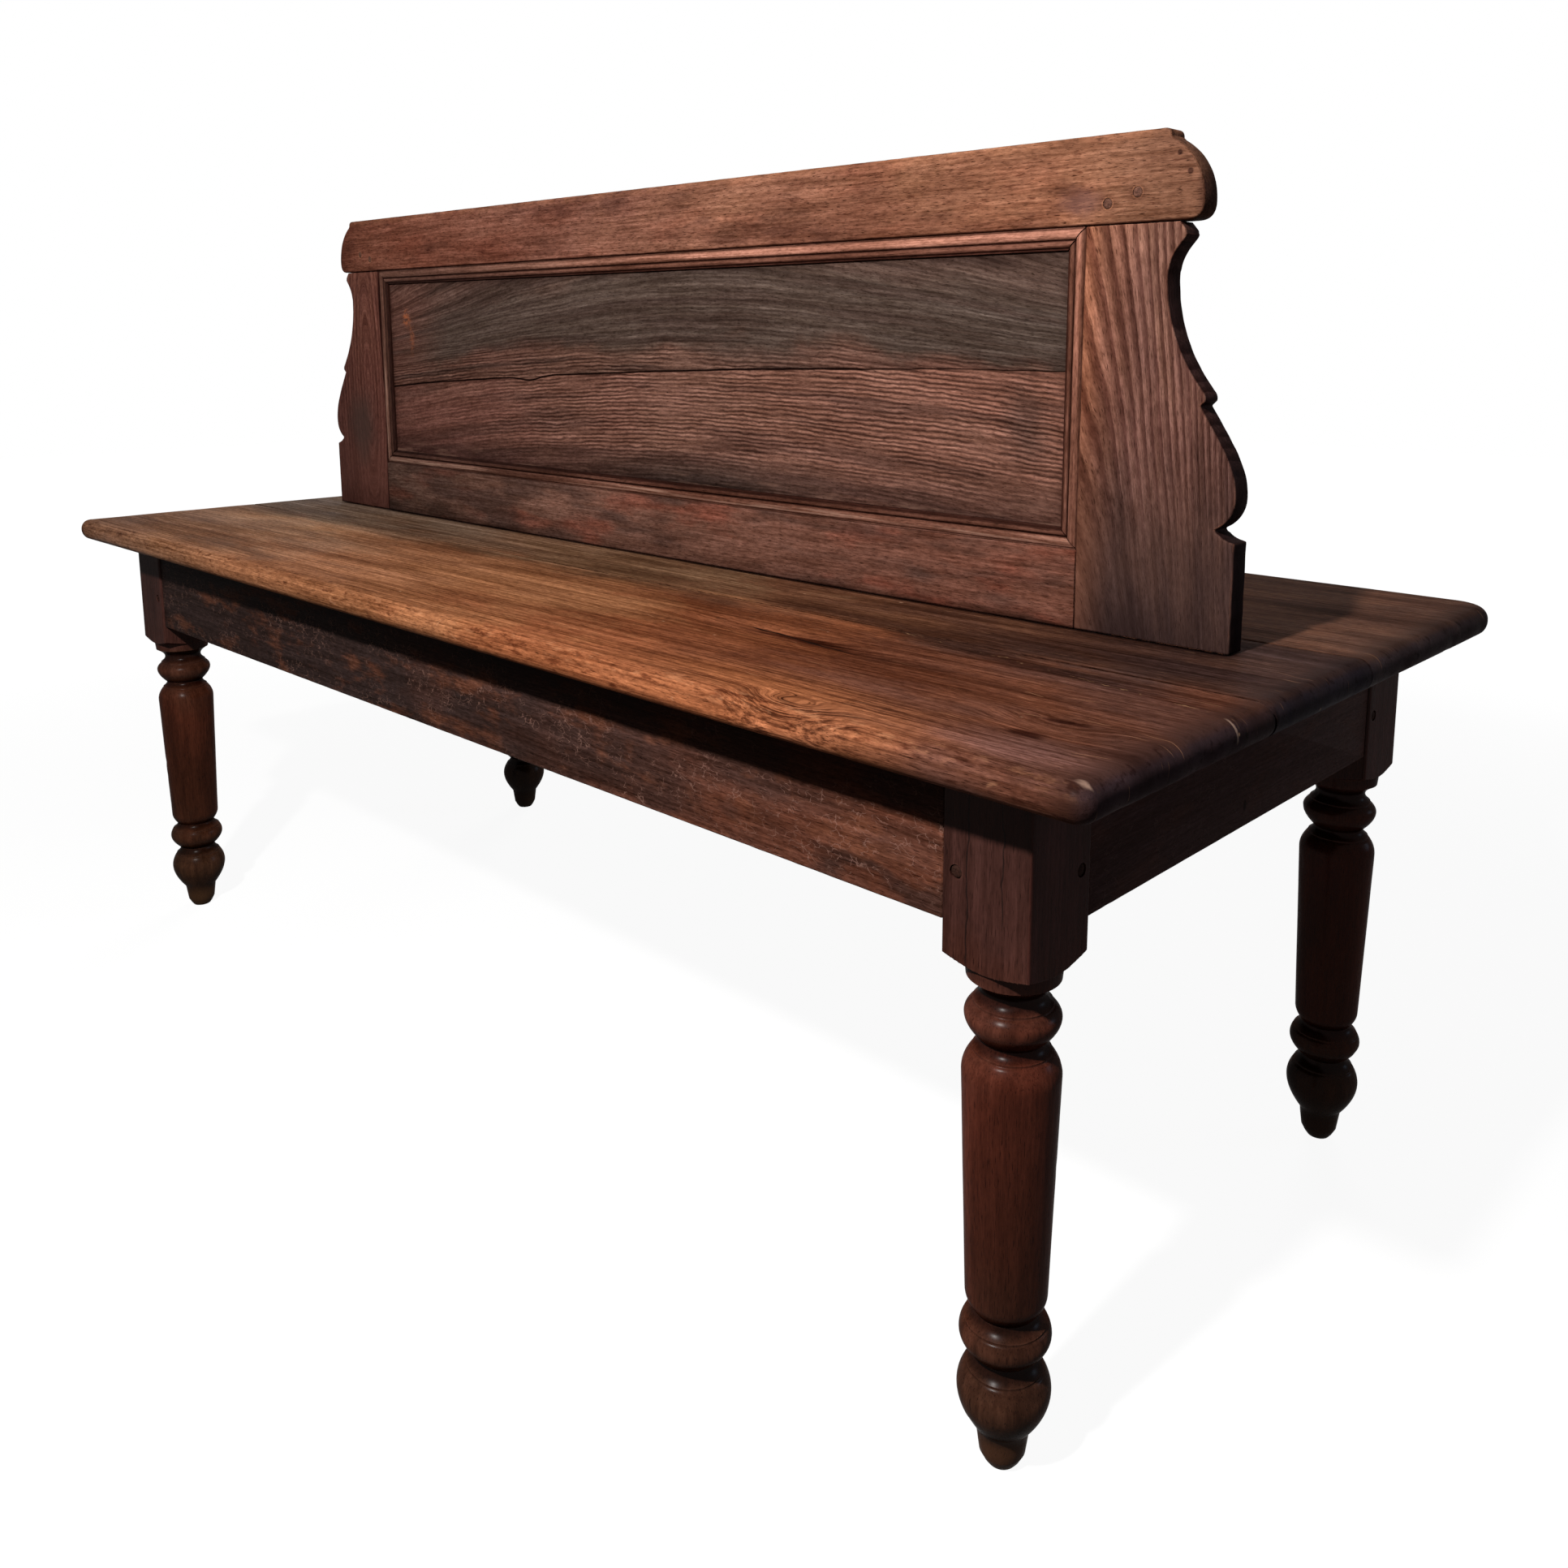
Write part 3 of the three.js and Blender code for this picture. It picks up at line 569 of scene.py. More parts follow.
def panel(upper):
    """One of the two panel boards; their joint climbs to the right, and was never quite straight."""
    name = "back_panel_upper" if upper else "back_panel_lower"
    board_low, board_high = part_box(name)
    opening = RAIL_UNDERSIDE - BOTTOM_RAIL_TOP
    heights = {key: BOTTOM_RAIL_TOP + value * opening for key, value in JOINT_SHARES.items()}
    ends = [Vector((board_low.x, heights["left"])), Vector((BACK_X, heights["pull"])),
            Vector((board_high.x, heights["right"]))]
    line = []
    for p in [ends[0]] + bezier(ends, JOINT_STEPS):
        stray = JOINT_STRAY * rough((p.x, 0, 0), 9, 4) + JOINT_TREMBLE * rough((p.x, 0, 0), 60, 6)
        stray -= HOOK_DEEP * math.exp(-((p.x - HOOK_AT) / HOOK_REACH) ** 2)
        line.append(Vector((p.x, p.y + stray)))
    edge = board_high.z if upper else board_low.z
    outline = [Vector((board_low.x, edge)), Vector((board_high.x, edge))] + list(reversed(line))
    sawn_board(name, "panel_oak", outline, board_low.y, board_high.y, arris=1.4 * MM, wobble=0.0,
               step=6 * MM, seed=12)


# The mouldings round the panel

MOULD_SHARES = {
    "quirk_top": (0, 0.78),
    "broad_foot": (0.06, 0.72),
    "broad_pull": (0.12, 1),
    "broad_crown": (0.3, 1),
    "broad_far": (0.52, 1),
    "groove": (0.56, 0.5),
    "narrow_pull": (0.6, 0.82),
    "narrow_crown": (0.74, 0.78),
    "narrow_far": (0.9, 0.74),
    "fillet_top": (0.92, 0.4),
    "sight": (1, 0.34),
}
MOULD_CURVES = [
    ("fillet_top", "narrow_far", "narrow_crown", 6),
    ("narrow_crown", "narrow_pull", "groove", 6),
    ("groove", "broad_far", "broad_crown", 8),
    ("broad_crown", "broad_pull", "broad_foot", 6),
]
MOULD_WIDTH = 14.7 * MM
MOULD_STEP = 14 * MM
MOULD_WEAR = 0.22 * MM


def mould_section(depth):
    """The moulding's outline as points of (width from the frame, depth off the panel)."""
    at = {key: Vector((w * MOULD_WIDTH, d * depth)) for key, (w, d) in MOULD_SHARES.items()}
    points = [Vector((0, 0)), Vector((MOULD_WIDTH, 0)), at["sight"], at["fillet_top"]]
    for start, pull, end, steps in MOULD_CURVES:
        points += bezier([at[start], at[pull], at[end]], steps)
    return points + [at["quirk_top"]]


def mouldings(face, facing):
    """Four mitred strips on one face of the panel; facing is -1 for the front and 1 for the rear."""
    foot = PANEL_HALF + FIT
    depth = BACK_HALF - foot - FIT
    mitre = 2 * FIT
    wide, tall = 2 * SEAM_REACH, RAIL_UNDERSIDE - BOTTOM_RAIL_TOP
    sides = {
        "bottom": (Vector((-SEAM_REACH, BOTTOM_RAIL_TOP)), Vector((1, 0)), Vector((0, 1)), wide),
        "top": (Vector((SEAM_REACH, RAIL_UNDERSIDE)), Vector((-1, 0)), Vector((0, -1)), wide),
        "left": (Vector((-SEAM_REACH, RAIL_UNDERSIDE)), Vector((0, -1)), Vector((1, 0)), tall),
        "right": (Vector((SEAM_REACH, BOTTOM_RAIL_TOP)), Vector((0, 1)), Vector((-1, 0)), tall),
    }
    section = mould_section(depth)
    for key, (start, along, inward, length) in sides.items():
        name = f"moulding_{face}_{key}"
        stations = max(2, round(length / MOULD_STEP))
        vertices = []
        for station in range(stations + 1):
            share = station / stations
            for p in section:
                across = p.x + FIT
                run = mitre + across + share * (length - 2 * mitre - 2 * across)
                spot = start + along * run + inward * across
                wear = MOULD_WEAR * max(0.0, rough((run, across * 6, facing), 38, len(key))) * (p.y / depth)
                vertices.append(Vector((spot.x + BACK_X, BACK_Y + facing * (foot + p.y - wear), spot.y)))
        mesh = mesh_of(name, vertices, tube_faces(stations + 1, len(section)))
        show(name, mesh, "back_oak", smooth_degrees=40)


# The seat

EDGE_FLAT = 1 * MM
FRONT_CORNER = 12 * MM
REAR_CORNER = 30 * MM
GRID_STEP = 5 * MM
CORNER_STEP = 4.5 * MM
SEAM_LINES = (0, 0.35 * MM, 1 * MM, 3 * MM)
SEAM_NEAR = 4 * MM
SEAM_WORN = 0.25 * MM
SEAM_ROUNDED = 0.45 * MM
END_NOTCH = {"at": SEAT_END - 6 * MM, "deep": 2.2 * MM, "reach": 9 * MM}
REAR_NOTCH = {"at": 575 * MM, "deep": 1.0 * MM, "reach": 14 * MM}
BRUISE_DEEP = 0.35 * MM
CHIP_DEEP = 2.2 * MM
CHIP_FROM = 0.25
PLANE_MARK_DEEP = 0.16 * MM
DIP_DEEP = 0.5 * MM


def edge_lines(start, sign, round_radius, corner):
    """Grid lines from a half-round outer edge inwards, close together where the edge curves."""
    offsets = {round_radius * (1 - math.cos(math.radians(angle))) for angle in range(0, 91, 9)}
    if corner > round_radius + 1.5 * MM:
        offsets.add(corner)
    offset = round_radius + 3.5 * MM
    while offset < corner - 2 * MM:
        offsets.add(offset)
        offset += CORNER_STEP
    return sorted(start + sign * offset for offset in offsets)


def with_middle(first, last):
    """Two runs of grid lines, and evenly spaced ones between them."""
    count = max(1, math.ceil((last[0] - first[-1]) / GRID_STEP))
    return first + [first[-1] + (last[0] - first[-1]) * i / count for i in range(1, count)] + last


def seat_plank(name, front, rear, front_outer, rear_outer, seed):
    """A plank of the seat: half-round at its outer edges, nearly square at its seams, and worn."""
    middle = (SEAT_TOP + SEAT_UNDERSIDE) / 2
    round_radius = (SEAT_TOP - SEAT_UNDERSIDE - EDGE_FLAT) / 2
    corner = FRONT_CORNER if front_outer else REAR_CORNER if rear_outer else round_radius
    left, right = (edge_lines(-sign * SEAT_END, sign, round_radius, corner) for sign in (1, -1))
    first, last = [front + s for s in SEAM_LINES], [rear - s for s in reversed(SEAM_LINES)]
    if front_outer:
        first = edge_lines(front, 1, round_radius, corner)
    if rear_outer:
        last = edge_lines(rear, -1, round_radius, corner)
    xs, ys = with_middle(left, right), with_middle(first, last)

    def place(x, y):
        """Where a grid point lies, how far it is from the outer edge, and the way out to that edge."""
        end = SEAT_END - abs(x)
        sign = 1 if x > 0 else -1
        from_front = y - front if front_outer else 1.0
        from_rear = rear - y if rear_outer else 1.0
        side = min(from_front, from_rear)
        out = -1 if from_front < from_rear else 1
        if end < corner and side < corner:
            u, v = 1 - end / corner, 1 - side / corner
            cu, cv = u * math.sqrt(1 - v * v / 2), v * math.sqrt(1 - u * u / 2)
            edge = front if out < 0 else rear
            way = Vector((sign * cu, out * cv))
            reach = way.length
            spot = (sign * (SEAT_END - corner * (1 - cu)), edge - out * corner * (1 - cv))
            return spot, corner * (1 - min(1.0, reach)), way.normalized() if reach > 1e-6 else Vector((0, 0))
        if end < side:
            return (x, y), end, Vector((sign, 0))
        return (x, y), side, Vector((0, out))

    def seam_gap(x, y):
        """How far the edge at a seam has worn back from it."""
        if abs(y - rear) < SEAM_NEAR and not rear_outer:
            side = 1
        elif abs(y - front) < SEAM_NEAR and not front_outer:
            side = -1
        else:
            return 0.0
        notch = END_NOTCH if side > 0 and front_outer or side < 0 and not rear_outer else REAR_NOTCH
        worn = SEAM_WORN * (1 + rough((x, side, 0), 30, seed))
        worn += notch["deep"] * max(0.0, 1 - abs(x - notch["at"]) / notch["reach"])
        return -side * worn

    tops, bottoms = [], []
    for y in ys:
        for x in xs:
            (px, py), depth, way = place(x, y)
            inside = min(depth, round_radius)
            rise = math.sqrt(max(0.0, round_radius ** 2 - (round_radius - inside) ** 2))
            share = 1 - inside / round_radius
            chip = max(0.0, rough((px, py, 0), 48, seed) - CHIP_FROM) * CHIP_DEEP
            bruise = (BRUISE_DEEP * (1 + rough((px, py, 0), 14, seed + 1)) + chip) * share ** 0.7
            sx, sy = px - way.x * bruise, py - way.y * bruise
            sy += seam_gap(px, y)
            dip = PLANE_MARK_DEEP * (1 + rough((px * 0.45, py, 0), 26, seed + 2))
            dip += DIP_DEEP * max(0.0, rough((px * 0.3, py, 1), 9, seed + 3)) * (1 - share)
            top = middle + EDGE_FLAT / 2 + rise - dip * (rise / round_radius) ** 2
            near_seam = min(1.0 if rear_outer else abs(y - rear), 1.0 if front_outer else abs(y - front))
            top -= SEAM_ROUNDED * max(0.0, 1 - near_seam / (1 * MM)) ** 2
            tops.append(Vector((sx, sy, top)))
            bottoms.append(Vector((sx, sy, middle - EDGE_FLAT / 2 - rise)))
    across, down = len(xs), len(ys)
    shift = len(tops)
    faces = []
    for j in range(down - 1):
        for i in range(across - 1):
            a = j * across + i
            faces.append([a, a + 1, a + 1 + across, a + across])
            faces.append([shift + a, shift + a + across, shift + a + 1 + across, shift + a + 1])
    rim = list(range(across)) + [j * across + across - 1 for j in range(1, down)]
    rim += [(down - 1) * across + i for i in range(across - 2, -1, -1)]
    rim += [j * across for j in range(down - 2, 0, -1)]
    faces += [[a, b, shift + b, shift + a] for a, b in zip(rim, rim[1:] + rim[:1])]
    show(name, mesh_of(name, tops + bottoms, faces), "seat_oak", smooth_degrees=42)


# The aprons

TENON_SHOULDER = 3 * MM
TENON_REACH = 12 * MM


def apron(name, along):
    """An apron between its shoulders; along is the axis that it runs on."""
    board_low, board_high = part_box(name)
    post = high("leg_front_right").x - low("leg_front_right").x
    if along == "x":
        reach = high("leg_front_right").x - post - FIT
        y0, y1, turn = board_low.y, board_high.y, None
    else:
        reach = -low("leg_front_right").y - post - FIT
        y0, y1 = -board_high.x, -board_low.x
        turn = Matrix.Rotation(math.radians(90), 4, "Z")
    bottom, top = board_low.z, board_high.z
    outline = [(-reach, bottom), (reach, bottom), (reach, top), (-reach, top)]
    half = (y1 - y0) / 2 - TENON_SHOULDER
    middle = (y0 + y1) / 2
    inner, tip = reach - TENON_SHOULDER, reach + TENON_REACH
    tenons = [
        box_mesh((start, middle - half, bottom + TENON_SHOULDER), (end, middle + half, top - TENON_SHOULDER))
        for start, end in ((-tip, -inner), (inner, tip))
    ]
    sawn_board(name, "frame_oak", outline, y0, y1, arris=1.3 * MM, wobble=0.4 * MM, step=7 * MM,
               seed=len(name), turn=turn, extra=tenons)


# Making the pieces

for number, corner_name in enumerate(("front_left", "front_right", "rear_right", "rear_left")):
    turned_leg(f"leg_{corner_name}", number + 1)
    peg(f"leg_peg_{corner_name}_a", number)
    peg(f"leg_peg_{corner_name}_b", number + 0.5)
for side_name, side_sign in (("left", -1), ("right", 1)):
    stile(side_name, side_sign)
    for index in (1, 2):
        peg(f"back_peg_{side_name}_{index}", index + side_sign * 3)
    peg(f"foot_peg_{side_name}")
top_rail()
bottom_rail()
panel(False)
panel(True)
mouldings("front", -1)
mouldings("rear", 1)
seat_plank("seat_plank_front", SEAT_FRONT, FRONT_SEAM - HALF_FIT, True, False, 1)
seat_plank("seat_plank_middle", FRONT_SEAM + HALF_FIT, REAR_SEAM - HALF_FIT, False, False, 2)
seat_plank("seat_plank_rear", REAR_SEAM + HALF_FIT, SEAT_REAR, False, True, 3)
for name, along in (("apron_front", "x"), ("apron_rear", "x"), ("apron_right", "y"), ("apron_left", "y")):
    apron(name, along)


# Wood, as nodes

def srgb(red, green, blue):
    """A colour as seen on a screen, 0 to 255, in the linear values that the shaders work in."""
    shares = (red / 255, green / 255, blue / 255)
    return tuple(((c + 0.055) / 1.055) ** 2.4 if c > 0.04 else c / 12.92 for c in shares)


def add_node(tree, kind, inputs=(), **settings):
    """A shader node with its settings; inputs gives its sockets numbers, colours, fields or outputs."""
    node = tree.nodes.new("ShaderNode" + kind)
    for key, value in settings.items():
        setattr(node, key, value)
    for key, value in dict(inputs).items():
        socket = node.inputs[key]
        if isinstance(value, Field):
            value = value.socket
        if isinstance(value, bpy.types.NodeSocket):
            tree.links.new(value, socket)
        elif socket.type == "RGBA":
            socket.default_value = (*value, 1)
        else:
            socket.default_value = value
    return node


def empty_tree(owner):
    owner.use_nodes = True
    owner.node_tree.nodes.clear()
    return owner.node_tree


class Field:
    """A number, a place or a colour that varies over a piece: what a shader node gives out."""

    def __init__(self, wood, socket):
        self.wood = wood
        self.socket = socket

    def __add__(self, other):
        return self.wood.math("ADD", self, other)

    def __sub__(self, other):
        return self.wood.math("SUBTRACT", self, other)

    def __rsub__(self, other):
        return self.wood.math("SUBTRACT", other, self)

    def __mul__(self, other):
        return self.wood.math("MULTIPLY", self, other)

    def __truediv__(self, other):
        return self.wood.math("DIVIDE", self, other)

    def __abs__(self):
        return self.wood.math("ABSOLUTE", self)

    def sine(self):
        return self.wood.math("SINE", self)

    def fraction(self):
        return self.wood.math("FRACT", self)

    def larger(self, other):
        return self.wood.math("MAXIMUM", self, other)

    def smaller(self, other):
        return self.wood.math("MINIMUM", self, other)

    def rise(self, start, end, first=0.0, last=1.0, smooth=True):
        """The first value where the field is at the start, and the last one where it is at the end."""
        values = dict(enumerate((self, start, end, first, last)))
        return self.wood.field("MapRange", values, interpolation_type="SMOOTHSTEP" if smooth else "LINEAR")

    def mix(self, amount, other):
        """The field where the amount is 0, and another field or a screen colour where it is 1."""
        return self.wood.blend(amount, self, other)

    def shade(self, amount, dark, light):
        """The field times dark where the amount is 0, and times light where it is 1."""
        span = tuple(b - a for a, b in zip(dark, light))
        return self.wood.vec("MULTIPLY", self, self.wood.vec("MULTIPLY_ADD", amount, span, dark))

    def tint(self, amount, colour):
        """The field times a colour, by an amount from 0 to 1."""
        return self.shade(amount, (1, 1, 1), colour)


BARE_SHINE = 0.001
WAX_IOR = 2.5
BEVEL_SAMPLES = 4
SEED_STRIDE = (17.1, 9.7, 5.3)


class Wood:
    """A material under construction, with short calls for the textures that the woods share.

    Lengths in it are millimetres in the frame of the model.
    """

    def __init__(self, name):
        self.material = bpy.data.materials.new(name)
        self.tree = empty_tree(self.material)
        coordinates = add_node(self.tree, "TexCoord")
        self.place = self.vec("MULTIPLY", coordinates.outputs["Object"], (1 / MM, 1 / MM, 1 / MM))
        self.x, self.y, self.z = self.parts(self.place)

    def field(self, kind, inputs, output=0, **settings):
        return Field(self, add_node(self.tree, kind, inputs, **settings).outputs[output])

    def math(self, operation, *values):
        return self.field("Math", dict(enumerate(values)), operation=operation)

    def vec(self, operation, *values):
        output = "Value" if operation in ("LENGTH", "DOT_PRODUCT") else "Vector"
        return self.field("VectorMath", dict(enumerate(values)), output, operation=operation)

    def vector(self, x, y, z):
        return self.field("CombineXYZ", {0: x, 1: y, 2: z})

    def parts(self, where):
        """A place's x, y and z."""
        return [Field(self, socket) for socket in add_node(self.tree, "SeparateXYZ", {0: where}).outputs]

    def stretched(self, sizes, where, seed=0.0):
        """Coordinates in which a feature of the given sizes is one unit across, moved on by a seed."""
        place = self.vec("MULTIPLY", where or self.place, tuple(1 / size for size in sizes))
        return self.vec("ADD", place, tuple(seed * stride for stride in SEED_STRIDE)) if seed else place

    def noise(self, sizes, detail=2.0, roughness=0.5, seed=0.0, where=None):
        """Noise from 0 to 1 whose features are about as large as the sizes."""
        inputs = {"Scale": 1.0, "Detail": detail, "Roughness": roughness}
        return self.field("TexNoise", {"Vector": self.stretched(sizes, where, seed), **inputs})

    def cells(self, sizes, seed=0.0, where=None, feature="F1"):
        """The distance to the nearest of scattered points, or to the edge of the area round it."""
        place = self.stretched(sizes, where, seed)
        return self.field("TexVoronoi", {"Vector": place, "Scale": 1.0}, "Distance", feature=feature)

    def wavy(self, sizes, by, seed=0.0):
        """Coordinates pushed about by slow noise, by up to so many millimetres."""
        place = self.vec("ADD", self.stretched(sizes, None), (seed, seed * 2, seed * 3))
        push = self.field("TexNoise", {"Vector": place, "Scale": 1.0, "Detail": 2.0}, "Color")
        push = self.vec("MULTIPLY_ADD", push, [2 * b for b in by], [-b for b in by])
        return self.vec("ADD", self.place, push)

    def blob(self, centre, sizes, soft=0.6, where=None):
        """1 in the middle of a rounded patch, falling to 0 at its rim."""
        inverse = [1 / size for size in sizes]
        offset = [-c / size for c, size in zip(centre, sizes)]
        reach = self.vec("LENGTH", self.vec("MULTIPLY_ADD", where or self.place, inverse, offset))
        return reach.rise(1.0, 1.0 - soft)

    def edge_wear_and_highlight(self, radius):
        """1 on edges that a finger would find sharp, 0 on the flat, for wear and painted highlights there.
        """
        bevel = add_node(self.tree, "Bevel", {"Radius": radius * MM}, samples=BEVEL_SAMPLES)
        flat = add_node(self.tree, "NewGeometry")
        return self.vec("DOT_PRODUCT", bevel.outputs[0], flat.outputs["Normal"]).rise(0.985, 0.86)

    def ramp(self, value, stops):
        """Screen colours that follow a value from 0 to 1."""
        node = add_node(self.tree, "ValToRGB", {0: value})
        elements = node.color_ramp.elements
        while len(elements) < len(stops):
            elements.new(0.5)
        for element, (position, colour) in zip(elements, stops):
            element.position = position
            element.color = (*srgb(*colour), 1)
        return Field(self, node.outputs[0])

    def blend(self, amount, first, second):
        """From a first field or screen colour to a second one, as the amount goes from 0 to 1."""
        ends = [end if isinstance(end, Field) else srgb(*end) for end in (first, second)]
        return self.field("Mix", {0: amount, 6: ends[0], 7: ends[1]}, 2, data_type="RGBA")

    def finish(self, colour, height, depth, roughness, wax, wax_roughness=0.4):
        """The shader: a colour, a height map that is so many millimetres deep, and a thin coat of wax."""
        bump = add_node(self.tree, "Bump", {"Strength": 1.0, "Distance": depth * MM, "Height": height})
        shader = add_node(self.tree, "BsdfPrincipled", {
            "Base Color": colour,
            "Roughness": roughness,
            "Specular IOR Level": BARE_SHINE,
            "Coat Weight": wax,
            "Coat IOR": WAX_IOR,
            "Coat Roughness": wax_roughness,
            "Normal": bump.outputs[0],
        })
        add_node(self.tree, "OutputMaterial", {"Surface": shader.outputs[0]})
        return self.material


AXIS_SIZES = {"x": lambda a, b: (a, b, b), "y": lambda a, b: (b, a, b), "z": lambda a, b: (b, b, a)}
PORE_DARK = (0.42, 0.38, 0.36)


def oak_figure(wood, axis, where, seed, streak=(90, 2.6), pore=(9, 0.55)):
    """What every piece shares: streaks along the grain, dark open pores, fine fibre and slow stains."""
    sizes = AXIS_SIZES[axis]
    streaks = wood.noise(sizes(*streak), 5.0, 0.66, seed, where=where)
    broad = wood.noise(sizes(streak[0] * 3, streak[1] * 5), 2.0, 0.5, seed + 1, where=where)
    pores = wood.noise(sizes(*pore), 1.0, 0.5, seed + 2, where=where).rise(0.6, 0.72)
    fibre = wood.noise(sizes(30, 0.6), 2.0, 0.6, seed + 3, where=where)
    grit = wood.noise(sizes(8, 2.2), 4.0, 0.75, seed + 5, where=where)
    stain = wood.noise(sizes(150, 60), 4.0, 0.6, seed + 4, where=where)
    return SimpleNamespace(
        streaks=streaks.rise(0.34, 0.66, smooth=False),
        broad=broad.rise(0.3, 0.7),
        pores=pores,
        fibre=fibre,
        grit=grit.rise(0.32, 0.68, smooth=False),
        stain=stain.rise(0.32, 0.68),
    )


def ring_lines(distance, spacing, sharp=0.75):
    """Growth rings across a distance: a slow rise to a dark line, then a sudden fall."""
    part = (distance / spacing).fraction()
    rise = part.rise(0.15, sharp)
    fall = part.rise(1.0, sharp + 0.08)
    return rise * fall


def figured(colour, figure, dark, light, pore_amount=1.0, grit_amount=1.0):
    """The colour with the oak's figure over it, its streaks from dark to light."""
    grit = figure.grit * grit_amount + (1 - grit_amount) / 2
    colour = colour.shade(figure.streaks, dark, light)
    colour = colour.shade(figure.broad, (0.8, 0.78, 0.76), (1.18, 1.2, 1.22))
    colour = colour.shade(figure.fibre, (0.8, 0.78, 0.76), (1.2, 1.22, 1.24))
    colour = colour.shade(grit, (0.62, 0.58, 0.56), (1.36, 1.42, 1.46))
    return colour.tint(figure.pores * pore_amount, PORE_DARK)


def figure_height(figure, extra=None):
    """A height from 0 to 1: low in the pores and dark lines, high on the pale streaks."""
    height = figure.streaks * 0.3 + 0.35
    height = figure.fibre * 0.2 + height
    height = figure.pores * -0.5 + height
    return height - extra if extra else height


# The seat's wood

PLANK_SHIFT = 430


